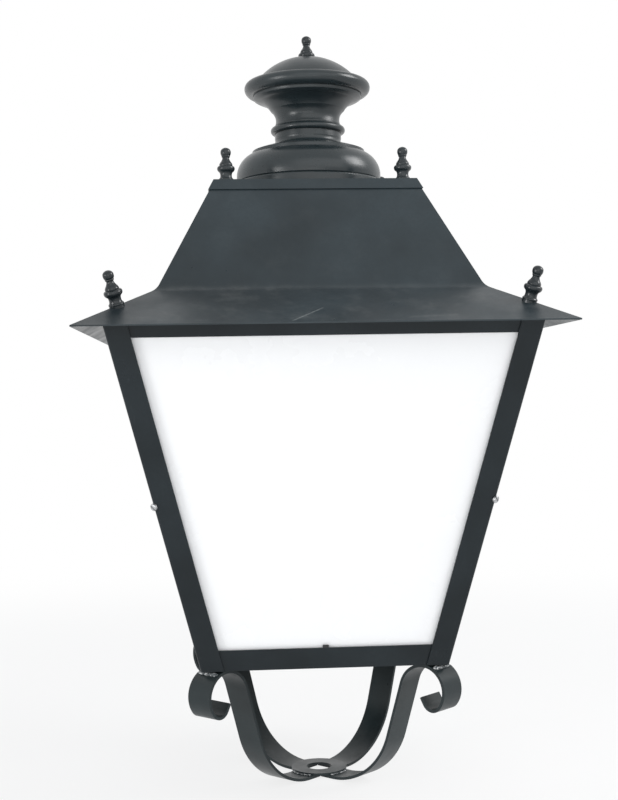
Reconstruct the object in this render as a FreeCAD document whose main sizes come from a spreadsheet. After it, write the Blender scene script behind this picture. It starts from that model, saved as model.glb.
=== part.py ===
"""Post top lantern: a square, tapering lantern on four scrolled straps.

The frame of the model is +Z up, millimetres, with the origin in the middle of the
hole of the ring plate that sits on the post. The front of the lantern faces -Y.
"""
import FreeCAD, Part
import math
import os
import re

import Sketcher
from FreeCAD import Placement, Rotation, Vector

doc = FreeCAD.newDocument("post_top_lantern")

# ---------------------------------------------------------------- driving sizes
SIZES = {
    # ring plate and straps
    "bore_diameter": (27.0, "hole for the post's 3/4 inch gas nipple"),
    "ring_diameter": (60.0, "outside of the ring plate"),
    "ring_thick": (2.5, "ring plate"),
    "strap_wide": (30.0, "flat bar of the straps"),
    "strap_thick": (3.0, "flat bar of the straps"),
    "strap_start": (15.3, "from the lantern's axis to the square end of a strap"),
    "belly_start": (31.0, "from the axis to where a strap begins to rise"),
    "belly_radius": (80.0, "rise of a strap, middle of the bar"),
    "leg_angle": (72.0, "slope of a strap's straight leg, degrees from level"),
    "arch_radius": (29.3, "arch under the frame's corner, middle of the bar"),
    "scroll_radius": (24.7, "outer side of the scroll, middle of the bar"),
    "scroll_turn": (130.0, "degrees from the arch's top to the curl"),
    "curl_radius": (11.0, "tight bottom of the scroll, middle of the bar"),
    "curl_turn": (110.0, "degrees of the tight curl"),
    "tail_long": (8.0, "straight free end inside the scroll"),
    # glazed frame
    "frame_bottom_z": (133.0, "underside of the frame"),
    "frame_bottom_half": (124.7, "half width over the posts at the underside"),
    "frame_top_z": (484.5, "top edge of the frame"),
    "frame_top_half": (211.0, "half width over the posts at the top edge"),
    "post_leg": (23.0, "face of a corner post"),
    "post_wall": (2.0, "sheet of a corner post"),
    "post_bend": (2.5, "outside bend of a corner post"),
    "rail_leg": (21.5, "face of a rail"),
    "rail_wall": (2.0, "rails"),
    "bottom_ledge": (23.0, "inward leg of a bottom rail"),
    # panes and what holds them
    "pane_thick": (3.0, "opal pane, measured level"),
    "pane_gap": (1.5, "between a rail and a pane, filled by the wedges"),
    "pane_inset": (13.0, "from the corner to the pane's side edge"),
    "pane_top_drop": (5.0, "from the frame's top edge to the pane's"),
    "wedge_wide": (6.0, "rubber wedge along the rail"),
    "wedge_deep": (14.0, "rubber wedge down behind the rail"),
    "wedge_head": (2.6, "rubber wedge above the rail's edge"),
    "corner_screw_z": (302.0, "height of the corner screws"),
    "clip_leg": (20.0, "leg of a pane clip"),
    "clip_wall": (1.2, "pane clip"),
    "clip_tall": (14.0, "pane clip"),
    "clip_cant": (4.0, "canted corner of a pane clip, along each leg"),
    "clip_gap": (0.1, "between a pane clip and a pane"),
    "corner_screw_diameter": (4.0, "corner screw's shank"),
    "corner_head_diameter": (7.5, "corner screw's pan head"),
    "corner_head_tall": (2.8, "corner screw's pan head"),
    "corner_screw_long": (20.0, "corner screw under its head"),
    "screw_slot_wide": (1.0, "slot of the corner screw's head"),
    "screw_slot_deep": (1.2, "slot of the corner screw's head"),
    "hole_clearance": (0.1, "around a screw's or stud's shank"),
    # floor, cable entry, lamp
    "floor_thick": (1.5, "floor plate"),
    "floor_gap": (1.0, "between the floor plate and a pane"),
    "gland_hole": (20.0, "hole for the gland in the floor plate"),
    "gland_bore": (10.0, "cable hole through the gland"),
    "gland_flats": (24.0, "across the gland's flats"),
    "gland_deep": (26.0, "gland under the floor plate"),
    "gland_thread_long": (9.0, "gland's thread above its flange"),
    "gland_flange": (5.0, "hexagon of the gland under the floor plate"),
    "gland_cap_inset": (1.5, "gland's cap inside its flats, and its wall at the end"),
    "gland_cap_dome": (8.0, "height of the rounded end of the gland's cap"),
    "gland_cap_round": (9.0, "radius of that rounded end"),
    "locknut_tall": (5.0, "gland's lock nut"),
    "bridge_wide": (28.0, "lamp bridge, along Y"),
    "bridge_thick": (2.0, "lamp bridge"),
    "bridge_half": (42.0, "half span of the bridge's feet"),
    "bridge_foot": (14.0, "length of a foot"),
    "bridge_tall": (46.0, "bridge above the floor plate"),
    "bridge_hole": (10.0, "hole for the wires in the bridge's top"),
    "holder_radius": (23.0, "lampholder"),
    "holder_tall": (48.0, "lampholder"),
    "holder_step": (4.0, "lampholder's foot inside its skirt"),
    "holder_foot_tall": (16.0, "lampholder's foot"),
    "holder_slope": (3.0, "height of the slope from the foot to the skirt"),
    "holder_round": (6.0, "rounding of the lampholder's mouth"),
    "cap_play": (0.3, "around the lamp cap"),
    "cap_floor_play": (0.5, "under the lamp cap"),
    "cap_radius": (13.0, "lamp cap"),
    "cap_deep": (24.0, "lamp cap inside the lampholder"),
    "globe_radius": (30.0, "lamp globe"),
    "globe_tall": (86.0, "lamp globe above the lampholder"),
    "cap_contact": (6.0, "radius of the lamp cap's flat end"),
    "cap_rise": (2.0, "lamp cap above the lampholder"),
    "terminal_long": (34.0, "terminal block"),
    "terminal_wide": (18.0, "terminal block"),
    "terminal_base": (8.0, "height of the terminal block's base"),
    "terminal_top": (7.0, "height of the terminal block above its base"),
    "terminal_top_wide": (10.0, "upper part of the terminal block"),
    "terminal_end": (2.0, "base past each end of the upper part"),
    "terminal_y": (59.0, "middle of the terminal block behind the lantern's axis"),
    # roof
    "seat_gap": (0.3, "between the roof and the frame it rests on"),
    "eave_half": (235.7, "half width of the eaves"),
    "eave_pitch": (26.6, "slope of the eaves, degrees"),
    "sheet": (1.2, "roof sheet"),
    "bend_half": (160.2, "half width where the roof turns steep"),
    "bend_soft": (16.0, "radius of that soft bend"),
    "roof_pitch": (63.2, "slope of the steep part, degrees"),
    "roof_tall": (142.2, "top of the roof's tray above the frame's top edge"),
    "tray_lip": (10.9, "lip of the tray down the roof"),
    "tray_gap": (0.2, "between the lip and the roof"),
    # chimney, heights above the tray
    "spun_wall": (1.5, "spun chimney pieces"),
    "foot_radius": (79.9, "chimney's foot ring"),
    "foot_tall": (11.8, "chimney's foot ring"),
    "drum_radius": (77.9, "chimney's drum above the seam"),
    "drum_round": (26.1, "rounding of the drum's shoulder"),
    "shoulder_radius": (63.7, "top of the shoulder"),
    "shoulder_z": (42.3, "top of the shoulder"),
    "cone_radius": (61.1, "foot of the cone on the shoulder"),
    "cone_z": (46.1, "foot of the cone on the shoulder"),
    "cone_bow": (105.0, "slight bow of the cone"),
    "cone_top_z": (51.9, "top of the cone"),
    "neck_radius": (36.1, "neck of the chimney"),
    "neck_low_z": (59.4, "seam under the collar"),
    "bead_radius": (40.9, "bead round the collar"),
    "bead_tall": (7.6, "bead round the collar"),
    "bead_z": (69.0, "middle of the bead"),
    "bowl_z": (74.5, "seam between the collar and the bowl"),
    "bowl_round": (14.0, "hollow of the bowl next to the neck"),
    "hollow_radius": (40.2, "end of the hollow"),
    "hollow_z": (91.0, "end of the hollow"),
    "flare_round": (22.0, "flare of the bowl"),
    "flare_radius": (51.9, "end of the flare"),
    "flare_z": (100.9, "end of the flare"),
    "lip_radius": (59.8, "lower lip of the cap"),
    "lip_z": (107.0, "seam between the bowl and the cap"),
    "rim_radius": (68.5, "widest part of the rolled rim"),
    "rim_z": (114.9, "widest part of the rolled rim"),
    "brim_radius": (62.2, "end of the roll"),
    "brim_z": (121.7, "end of the roll"),
    "crown_radius": (56.1, "foot of the crown"),
    "crown_z": (121.4, "foot of the crown"),
    "crown_top_z": (149.0, "top of the crown"),
    "tie_diameter": (6.0, "tie bolt through the chimney"),
    "tie_head_flats": (10.0, "across the flats of the tie bolt's head"),
    "tie_head_tall": (4.0, "tie bolt's head"),
    "tie_hold": (8.0, "tie bolt inside the top finial"),
    "tie_hole_spare": (2.5, "hole past the end of the tie bolt"),
    # finials, heights above their foot
    "finial_tall": (34.2, "whole finial"),
    "finial_foot": (7.2, "radius of the foot"),
    "finial_waist": (5.7, "radius of the waist"),
    "finial_bead": (9.0, "radius of the main bead"),
    "finial_collar": (6.4, "radius of the collar over the bead"),
    "finial_neck": (3.4, "radius of the neck"),
    "finial_ball": (4.75, "radius of the ball"),
    "finial_foot_z": (3.2, "top of the foot"),
    "finial_bead_z": (13.0, "middle of the main bead"),
    "finial_bead_half": (2.6, "half height of the main bead"),
    "finial_neck_z": (23.6, "narrowest part of the neck"),
    "finial_stud": (4.0, "diameter of the riveted stud"),
    "finial_stud_long": (6.0, "stud under the foot"),
    "tray_finial_half": (90.8, "place of the tray's finials"),
    "eave_finial_half": (195.9, "place of the eaves' finials"),
    # hinges
    "hinge_at": (110.0, "middle of a hinge from the lantern's middle"),
    "hinge_long": (50.0, "hinge"),
    "hinge_knuckle": (3.5, "radius of the knuckles"),
    "hinge_pin": (1.5, "radius of the pin"),
    "hinge_play": (0.05, "around the pin"),
    "hinge_wall": (1.2, "leaves"),
    "hinge_leaf": (16.0, "leaf past the knuckle"),
    "hinge_gap": (0.3, "between the knuckles"),
    # side catches
    "catch_below": (12.5, "axis of the thumb screws below the frame's top edge"),
    "catch_wide": (18.0, "catch plate"),
    "catch_thick": (1.5, "catch plate"),
    "catch_drop": (9.0, "catch plate below the screw's axis"),
    "catch_flange": (12.0, "flange of the catch plate under the eave"),
    "catch_gap": (0.3, "each side of the catch plate"),
    "catch_slot": (7.0, "open slot of the catch plate"),
    "thumb_diameter": (5.0, "thumb screw's shank"),
    "thumb_head": (14.0, "thumb screw's head"),
    "thumb_head_long": (7.0, "thumb screw's head"),
    "thumb_play": (0.05, "around the thumb screw's shank"),
    "boss_diameter": (12.0, "threaded boss on the rail"),
    "flute_radius": (1.5, "flute in the thumb screw's head"),
    "flute_out": (0.5, "middle of the flute outside the head"),
    "flute_stop": (2.0, "head left whole behind the flute"),
}

sheet = doc.addObject("Spreadsheet::Sheet", "Sizes")
for row, (alias, (value, note)) in enumerate(SIZES.items(), start=1):
    sheet.set(f"A{row}", alias)
    sheet.set(f"B{row}", str(value))
    sheet.setAlias(f"B{row}", alias)
    sheet.set(f"C{row}", note)
doc.recompute()

# ------------------------------------------------------- sizes that follow others
# Half width over the posts at height Z is frame_bottom_half + LEAN * (Z - frame_bottom_z).
LEAN = "((frame_top_half - frame_bottom_half) / (frame_top_z - frame_bottom_z))"


def frame_half(z, inset="0"):
    """Half width of the leaning frame at height z, less an inset."""
    return f"(frame_bottom_half + {LEAN} * (({z}) - frame_bottom_z) - ({inset}))"


RAIL_FACE = "post_wall"
RAIL_BACK = "(post_wall + rail_wall)"
PANE_FACE = f"({RAIL_BACK} + pane_gap)"
PANE_BACK = f"({PANE_FACE} + pane_thick)"
LEDGE_Z = "(frame_bottom_z + rail_wall)"
FLOOR_TOP_Z = f"({LEDGE_Z} + floor_thick)"

# Corner screws stand square to the posts' leaning corners, so they rise on their way in.
CREST_HALF = f"({frame_half('corner_screw_z')} - post_bend * (1 - sqrt(0.5)))"
CLIP_IN = f"(({PANE_BACK} + clip_gap) * sqrt(2) + clip_cant / sqrt(2))"
CLIP_MID_Z = f"(corner_screw_z + {CLIP_IN} * sqrt(2) * {LEAN})"

STRAP_MID_Z = "(-(ring_thick + strap_thick) / 2)"
CATCH_Z = "(frame_top_z - catch_below)"
TRAY_TOP_Z = "(frame_top_z + roof_tall)"

EAVE_Z = "(frame_top_z + seat_gap - (eave_half - frame_top_half) * tan(eave_pitch))"
EAVE_RISE = "(sheet / cos(eave_pitch))"
WALL_RUN = "(sheet / sin(roof_pitch))"
BEND_Z = f"({EAVE_Z} + {EAVE_RISE} + (eave_half - bend_half) * tan(eave_pitch))"
ROOF_TOP_Z = f"({TRAY_TOP_Z} - sheet)"


def eave_under(half):
    """Height of the eaves' underside at a half width."""
    return f"({EAVE_Z} + (eave_half - ({half})) * tan(eave_pitch))"


def roof_half(z):
    """Half width of the steep roof's outside at height z."""
    return f"(bend_half - (({z}) - {BEND_Z}) / tan(roof_pitch))"


INNER_BEND_HALF = (f"(({BEND_Z} + (bend_half - {WALL_RUN}) * tan(roof_pitch) - {EAVE_Z}"
                   " - eave_half * tan(eave_pitch)) / (tan(roof_pitch) - tan(eave_pitch)))")

# The pin lies the same way off the rail's face and off the eaves' underside.
HINGE_REACH = "(hinge_knuckle + hinge_gap)"
HINGE_FOOT = f"({frame_half('0', RAIL_FACE)} + {HINGE_REACH} / cos(atan({LEAN})))"
HINGE_Z = (f"(({eave_under(HINGE_FOOT)} - {HINGE_REACH} / cos(eave_pitch))"
           f" / (1 + {LEAN} * tan(eave_pitch)))")
HINGE_Y = f"({HINGE_FOOT} + {LEAN} * {HINGE_Z})"

CATCH_X = f"({frame_half('frame_top_z', RAIL_FACE)} + catch_gap)"

ALIAS = re.compile(r"\b(" + "|".join(SIZES) + r")\b")


def bound(expression):
    """The same expression with each size read from the sheet."""
    return ALIAS.sub(r"Sizes.\1", str(expression))


def number(expression):
    """What an expression comes to now."""
    value = sheet.evalExpression(bound(expression))
    return float(getattr(value, "Value", value))


# ---------------------------------------------------------------- building blocks
parts = []


def new_body(name):
    body = doc.addObject("PartDesign::Body", name)
    body.Label = name
    parts.append(body)
    return body


def own_datum(body, role):
    """One of the body's own planes or axes."""
    return next(f for f in body.Origin.OriginFeatures if f.Role == role)


def new_sketch(body, role="XZ_Plane", offset=None, turn=None):
    """Sketch on one of the body's own planes, moved along it or turned."""
    sketch = body.newObject("Sketcher::SketchObject", body.Name + "_sketch")
    sketch.AttachmentSupport = (own_datum(body, role), [""])
    sketch.MapMode = "FlatFace"
    if turn is not None:
        sketch.AttachmentOffset = Placement(Vector(), turn)
    if offset is not None:
        sketch.setExpression("AttachmentOffset.Base.z", bound(offset))
    return sketch


def hold_point(sketch, geometry, end, x, y):
    """Hold one end of a piece of geometry at (x, y) of the sheet."""
    for kind, value in (("DistanceX", x), ("DistanceY", y)):
        index = sketch.addConstraint(
            Sketcher.Constraint(kind, -1, 1, geometry, end, number(value)))
        sketch.setExpression(f"Constraints[{index}]", bound(value))


def draw_outline(sketch, corners):
    """Closed outline. A corner is (x, y) or (x, y, radius): the radius bends the edge that
    leaves the corner, to the left of its way if positive and to the right if negative."""
    first = sketch.GeometryCount
    count = len(corners)
    ends = []
    for i, corner in enumerate(corners):
        following = corners[(i + 1) % count]
        a = Vector(number(corner[0]), number(corner[1]), 0)
        b = Vector(number(following[0]), number(following[1]), 0)
        if len(corner) == 2:
            sketch.addGeometry(Part.LineSegment(a, b))
            ends.append((1, 2))
            continue
        radius = number(corner[2])
        chord = b - a
        depth = (radius ** 2 - (chord.Length / 2) ** 2) ** 0.5
        left = Vector(-chord.y, chord.x, 0).normalize()
        side = 1 if radius > 0 else -1
        centre = (a + b) / 2 + left * (depth * side)
        circle = Part.Circle(centre, Vector(0, 0, 1), abs(radius))
        start, stop = (a, b) if side > 0 else (b, a)
        arc = Part.ArcOfCircle(circle, circle.parameter(start), circle.parameter(stop))
        index = sketch.addGeometry(arc)
        ends.append((1, 2) if side > 0 else (2, 1))
        hold = sketch.addConstraint(Sketcher.Constraint("Radius", index, abs(radius)))
        sketch.setExpression(f"Constraints[{hold}]", bound(f"abs({corner[2]})"))
    for i, corner in enumerate(corners):
        hold_point(sketch, first + i, ends[i][0], corner[0], corner[1])
        before = (i - 1) % count
        sketch.addConstraint(Sketcher.Constraint(
            "Coincident", first + before, ends[before][1], first + i, ends[i][0]))
    return sketch


def draw_circle(sketch, x, y, radius):
    index = sketch.addGeometry(Part.Circle(
        Vector(number(x), number(y), 0), Vector(0, 0, 1), number(radius)))
    hold = sketch.addConstraint(Sketcher.Constraint("Radius", index, number(radius)))
    sketch.setExpression(f"Constraints[{hold}]", bound(radius))
    hold_point(sketch, index, 3, x, y)
    return sketch


def rectangle(x0, y0, x1, y1):
    return [(x0, y0), (x1, y0), (x1, y1), (x0, y1)]


def pad(body, sketch, length, symmetric=False, backward=False):
    """Pad, over both sides of the sketch if symmetric."""
    feature = body.newObject("PartDesign::Pad", body.Name + "_pad")
    feature.Profile = sketch
    feature.setExpression("Length", bound(length))
    feature.Midplane = symmetric
    feature.Reversed = backward
    sketch.Visibility = False
    return feature


def pocket(body, sketch, length, backward=False, symmetric=False):
    """Pocket, and a check that it really cuts."""
    doc.recompute()
    before = body.Shape.Volume
    feature = body.newObject("PartDesign::Pocket", body.Name + "_pocket")
    feature.Profile = sketch
    feature.setExpression("Length", bound(length))
    feature.Midplane = symmetric
    feature.Reversed = backward
    doc.recompute()
    if body.Shape.Volume >= before:
        raise RuntimeError(f"{body.Name}: a pocket cuts nothing")
    return feature


def revolve(body, corners, role="XZ_Plane"):
    """Turn an outline of (radius, height) corners about the sketch's upright axis."""
    sketch = draw_outline(new_sketch(body, role), corners)
    feature = body.newObject("PartDesign::Revolution", body.Name + "_turned")
    feature.Profile = sketch
    feature.ReferenceAxis = (sketch, ["V_Axis"])
    feature.Angle = 360
    return feature


def loft(body, lower, upper):
    feature = body.newObject("PartDesign::AdditiveLoft", body.Name + "_loft")
    feature.Profile = lower
    feature.Sections = [upper]
    feature.Ruled = True
    return feature


def level_loft(body, outline, low_z, high_z):
    """Straight-sided solid between one outline drawn at two heights."""
    sections = []
    for z in (low_z, high_z):
        sketch = new_sketch(body, "XY_Plane", offset=z)
        sections.append(draw_outline(sketch, outline(z)))
    return loft(body, *sections)


def mitred_side(body, corners):
    """Front side of a square ring: an outline of (half width, height) corners padded along
    the side and cut off at 45 degrees at both ends."""
    longest = max((c[0] for c in corners), key=number)
    sketch = new_sketch(body, "YZ_Plane")
    draw_outline(sketch, [(f"-({c[0]})", c[1]) for c in corners])
    pad(body, sketch, f"2 * ({longest})", symmetric=True)
    ends = new_sketch(body, "XY_Plane")
    near, far = "frame_bottom_half / 2", "2 * eave_half"
    for side in ("", "-"):
        draw_outline(ends, [(f"{side}{near}", f"-{near}"), (f"{side}{far}", f"-{far}"),
                            (f"{side}{far}", f"-{near}")])
    return pocket(body, ends, f"2 * {TRAY_TOP_Z}", symmetric=True)


def square_ring(body, corners):
    """Square ring of an outline of (half width, height) corners, mitred at its corners."""
    path = draw_outline(new_sketch(body, "XY_Plane"),
                        rectangle("-eave_half", "-eave_half", "eave_half", "eave_half"))
    pipe = body.newObject("PartDesign::AdditivePipe", body.Name + "_pipe")
    pipe.Profile = draw_outline(new_sketch(body, "YZ_Plane"), corners)
    pipe.Spine = path
    pipe.Transition = "Right corner"
    return pipe


def around(body, feature, count=4):
    """Repeat a feature about the upright axis."""
    doc.recompute()
    pattern = body.newObject("PartDesign::PolarPattern", body.Name + "_pattern")
    pattern.Originals = [feature]
    pattern.Axis = (own_datum(body, "Z_Axis"), [""])
    pattern.Angle = 360
    pattern.Occurrences = count
    body.Tip = pattern
    return pattern


def drill(body, radius, length, base, turn=Rotation()):
    """Round hole from base along the turned Z axis."""
    doc.recompute()
    before = body.Shape.Volume
    hole = body.newObject("PartDesign::SubtractiveCylinder", body.Name + "_hole")
    hole.AttachmentSupport = (own_datum(body, "XY_Plane"), [""])
    hole.MapMode = "FlatFace"
    hole.AttachmentOffset = Placement(Vector(), turn)
    for axis, value in zip("xyz", base):
        hole.setExpression(f"AttachmentOffset.Base.{axis}", bound(value))
    hole.setExpression("Radius", bound(radius))
    hole.setExpression("Height", bound(length))
    doc.recompute()
    if body.Shape.Volume >= before:
        raise RuntimeError(f"{body.Name}: a hole cuts nothing")
    return hole


def quarter_turns(steps):
    """Placement turned about the upright axis by quarter turns."""
    return Placement(Vector(), Rotation(Vector(0, 0, 1), 90 * steps))


SIDES = ("front", "right", "back", "left")
CORNERS = ("front_left", "front_right", "back_right", "back_left")


# ---------------------------------------------------------------- ring and straps
def make_mounting_ring():
    body = new_body("mounting_ring")
    sketch = new_sketch(body, "XY_Plane", offset="-ring_thick / 2")
    draw_circle(sketch, "0", "0", "ring_diameter / 2")
    draw_circle(sketch, "0", "0", "bore_diameter / 2")
    pad(body, sketch, "ring_thick")


def strap_path(body):
    """Middle line of a strap in its upright plane: foot, belly, leg, arch, scroll, curl, tail."""
    start = Vector(number("strap_start"), number(STRAP_MID_Z), 0)
    arch_top = number("frame_bottom_z - strap_thick / 2")
    lean = number("leg_angle")
    runs = []
    here, heading = start, 0.0

    def line_to(length):
        nonlocal here
        way = Rotation(Vector(0, 0, 1), heading).multVec(Vector(1, 0, 0))
        there = here + way * length
        runs.append(Part.LineSegment(here, there))
        here = there

    def arc_by(radius, turn):
        """Tangent arc, turning left by a positive angle."""
        nonlocal here, heading
        side = 1 if turn > 0 else -1
        normal = Rotation(Vector(0, 0, 1), heading + 90 * side).multVec(Vector(1, 0, 0))
        centre = here + normal * radius
        spin = Rotation(Vector(0, 0, 1), turn)
        there = centre + spin.multVec(here - centre)
        circle = Part.Circle(centre, Vector(0, 0, 1), radius)
        ends = (here, there) if side > 0 else (there, here)
        runs.append(Part.ArcOfCircle(circle, *(circle.parameter(p) for p in ends)))
        here, heading = there, heading + turn

    line_to(number("belly_start - strap_start"))
    arc_by(number("belly_radius"), lean)
    arch_rise = number("arch_radius") * (1 - number("cos(leg_angle)"))
    line_to((arch_top - arch_rise - here.y) / number("sin(leg_angle)"))
    arc_by(number("arch_radius"), -lean)
    arc_by(number("scroll_radius"), -number("scroll_turn"))
    arc_by(number("curl_radius"), -number("curl_turn"))
    line_to(number("tail_long"))

    sketch = new_sketch(body)
    for run in runs:
        sketch.addGeometry(run)
    arcs_left = {1}
    for i in range(len(runs) - 1):
        ahead = 2 if isinstance(runs[i], Part.LineSegment) or i in arcs_left else 1
        after = i + 1
        behind = 1 if isinstance(runs[after], Part.LineSegment) or after in arcs_left else 2
        sketch.addConstraint(Sketcher.Constraint("Tangent", i, ahead, after, behind))
    hold_point(sketch, 0, 1, "strap_start", STRAP_MID_Z)
    sketch.addConstraint(Sketcher.Constraint("Horizontal", 0))
    for index, kind, value in (
            (0, "Distance", "belly_start - strap_start"), (1, "Radius", "belly_radius"),
            (3, "Radius", "arch_radius"), (4, "Radius", "scroll_radius"),
            (5, "Radius", "curl_radius"), (6, "Distance", "tail_long")):
        hold = sketch.addConstraint(Sketcher.Constraint(kind, index, number(value)))
        sketch.setExpression(f"Constraints[{hold}]", bound(value))
    leg = sketch.addConstraint(
        Sketcher.Constraint("Angle", -1, 1, 2, 1, math.radians(number("leg_angle"))))
    sketch.setExpression(f"Constraints[{leg}]", bound("leg_angle * 1deg"))
    return sketch


def make_strap(corner, steps):
    body = new_body(f"strap_{corner}")
    path = strap_path(body)
    section = new_sketch(body, "YZ_Plane", offset="strap_start")
    draw_outline(section, rectangle("-strap_wide / 2", f"{STRAP_MID_Z} - strap_thick / 2",
                                    "strap_wide / 2", f"{STRAP_MID_Z} + strap_thick / 2"))
    pipe = body.newObject("PartDesign::AdditivePipe", body.Name + "_pipe")
    pipe.Profile = section
    pipe.Spine = path
    pipe.Mode = "Frenet"
    body.Placement = Placement(Vector(), Rotation(Vector(0, 0, 1), 225 + 90 * steps))


# ---------------------------------------------------------------------- the frame
def corner_angle(z):
    """Level section of the front left post at height z."""
    out = f"-{frame_half(z)}"
    inner = f"({out} + post_wall)"
    end = f"({out} + post_leg)"
    bend = f"({out} + post_bend)"
    return [(bend, out), (end, out), (end, inner), (inner, inner), (inner, end), (out, end),
            (out, bend, "post_bend")]


def make_post(corner, steps):
    body = new_body(f"post_{corner}")
    level_loft(body, corner_angle, "frame_bottom_z", "frame_top_z")
    start = f"-{CREST_HALF} - 2"
    drill(body, "corner_screw_diameter / 2 + hole_clearance", "12",
          (start, start, f"corner_screw_z - 4 * {LEAN}"), Rotation(Vector(0, 0, 1), screw_way()))
    body.Placement = quarter_turns(steps)


def make_bottom_rail(side, steps):
    body = new_body(f"bottom_rail_{side}")
    top = "(frame_bottom_z + rail_leg)"
    mitred_side(body, [
        (frame_half("frame_bottom_z", RAIL_FACE), "frame_bottom_z"),
        (frame_half(top, RAIL_FACE), top),
        (frame_half(top, RAIL_BACK), top),
        (frame_half(LEDGE_Z, RAIL_BACK), LEDGE_Z),
        (frame_half("frame_bottom_z", f"{RAIL_FACE} + bottom_ledge"), LEDGE_Z),
        (frame_half("frame_bottom_z", f"{RAIL_FACE} + bottom_ledge"), "frame_bottom_z")])
    body.Placement = quarter_turns(steps)


def make_top_rail(side, steps):
    body = new_body(f"top_rail_{side}")
    low = "(frame_top_z - rail_leg)"
    mitred_side(body, [
        (frame_half(low, RAIL_FACE), low), (frame_half("frame_top_z", RAIL_FACE), "frame_top_z"),
        (frame_half("frame_top_z", RAIL_BACK), "frame_top_z"), (frame_half(low, RAIL_BACK), low)])
    if side in ("left", "right"):
        drill(body, "thumb_diameter / 2 + thumb_play", "20",
              ("0", f"-{frame_half(CATCH_Z)} - 5", CATCH_Z),
              Rotation(Vector(0, 0, 1), Vector(0, 1, 0)))
    body.Placement = quarter_turns(steps)


# ------------------------------------------------------------------------- panes
def make_pane(side, steps):
    body = new_body(f"pane_{side}")

    def section(z):
        half = frame_half(z, "pane_inset")
        return rectangle(f"-{half}", f"-{frame_half(z, PANE_FACE)}",
                         half, f"-{frame_half(z, PANE_BACK)}")

    level_loft(body, section, LEDGE_Z, "frame_top_z - pane_top_drop")
    body.Placement = quarter_turns(steps)


def wedge_solid(edge_z):
    """Rubber wedge over the front rail's top edge, behind it down to wedge_deep."""
    def y(z, inset):
        return -number(frame_half(z, inset))

    low = f"({edge_z} - wedge_deep)"
    head = f"({edge_z} + wedge_head)"
    corners = [(y(edge_z, RAIL_FACE), edge_z), (y(head, RAIL_FACE), head),
               (y(head, PANE_FACE), head), (y(low, PANE_FACE), low),
               (y(low, RAIL_BACK), low), (y(edge_z, RAIL_BACK), edge_z)]
    half = number("wedge_wide / 2")
    points = [Vector(-half, across, number(z)) for across, z in corners]
    face = Part.Face(Part.makePolygon(points + points[:1]))
    return face.extrude(Vector(2 * half, 0, 0))


def make_pane_wedges():
    """Eight rubber wedges, one in the middle of each rail, as one group."""
    group = doc.addObject("Part::Feature", "pane_wedges")
    solids = []
    reach = number("2 * frame_top_half")
    below_top = Part.makeBox(2 * reach, 2 * reach, number("frame_top_z"), Vector(-reach, -reach, 0))
    for edge_z in ("(frame_bottom_z + rail_leg)", "frame_top_z"):
        for steps in range(4):
            solid = wedge_solid(edge_z).common(below_top)
            solid.rotate(Vector(), Vector(0, 0, 1), 90 * steps)
            solids.append(solid)
    group.Shape = Part.makeCompound(solids)
    group.Label = "pane_wedges"
    parts.append(group)


def screw_way():
    """Way in of the front left corner screw."""
    return Vector(1, 1, 2 * number(LEAN))


def clip_outline(z):
    """Level outline of the front left pane clip at height z, in the corner of two panes."""
    out = -number(frame_half(z, f"{PANE_BACK} + clip_gap"))
    inner = out + number("clip_wall")
    end = out + number("clip_leg")
    cant = number("clip_cant")
    inner_cant = cant - number("clip_wall") * (2 - 2 ** 0.5)
    corners = [(out, out + cant), (out + cant, out), (end, out), (end, inner),
               (inner + inner_cant, inner), (inner, inner + inner_cant), (inner, end), (out, end)]
    points = [Vector(x, y, number(z)) for x, y in corners]
    return Part.makePolygon(points + points[:1])


def four_corners(name, solid):
    """One node with a solid at each of the four corners."""
    group = doc.addObject("Part::Feature", name)
    group.Shape = Part.makeCompound(
        [solid.rotated(Vector(), Vector(0, 0, 1), 90 * steps) for steps in range(4)])
    group.Label = name
    parts.append(group)


def make_pane_clips():
    """Pane clips, each an angle on the inner faces of two panes, drilled for its screw."""
    heights = (f"({CLIP_MID_Z} - clip_tall / 2)", f"({CLIP_MID_Z} + clip_tall / 2)")
    clip = Part.makeLoft([clip_outline(z) for z in heights], True, True)
    start = -number(CREST_HALF)
    hole = Part.makeCylinder(number("corner_screw_diameter / 2 + hole_clearance"),
                             number("2 * corner_screw_long"),
                             Vector(start, start, number("corner_screw_z")), screw_way())
    four_corners("pane_clips", clip.cut(hole))


def make_corner_screws():
    """Zinc pan head screws through the posts' corners into the pane clips."""
    tall = number("corner_head_tall")
    way = screw_way().normalize()
    start = -number(CREST_HALF)
    seat = Vector(start, start, number("corner_screw_z"))
    head = Part.makeCylinder(number("corner_head_diameter / 2"), tall, seat, way * -1)
    outer_rim = [e for e in head.Edges if isinstance(e.Curve, Part.Circle)
                 and (e.Curve.Center - seat).Length > tall / 2]
    head = head.makeFillet(tall * 0.45, outer_rim)
    wide, deep = number("screw_slot_wide"), number("screw_slot_deep")
    across = number("corner_head_diameter")
    slot = Part.makeBox(wide, 2 * across, deep, Vector(-wide / 2, -across, tall - deep))
    slot.Placement = Placement(seat, Rotation(Vector(0, 0, 1), way * -1))
    stem = Part.makeCylinder(number("corner_screw_diameter / 2"), number("corner_screw_long"),
                             seat, way)
    four_corners("corner_screws", head.cut(slot).fuse(stem))


# --------------------------------------------------------- floor, gland and lamp
def make_floor_plate():
    body = new_body("floor_plate")
    half = frame_half(LEDGE_Z, f"{PANE_BACK} + floor_gap")
    sketch = new_sketch(body, "XY_Plane", offset=LEDGE_Z)
    draw_outline(sketch, rectangle(f"-{half}", f"-{half}", half, half))
    draw_circle(sketch, "0", "0", "gland_hole / 2 + hole_clearance")
    pad(body, sketch, "floor_thick")


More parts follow.
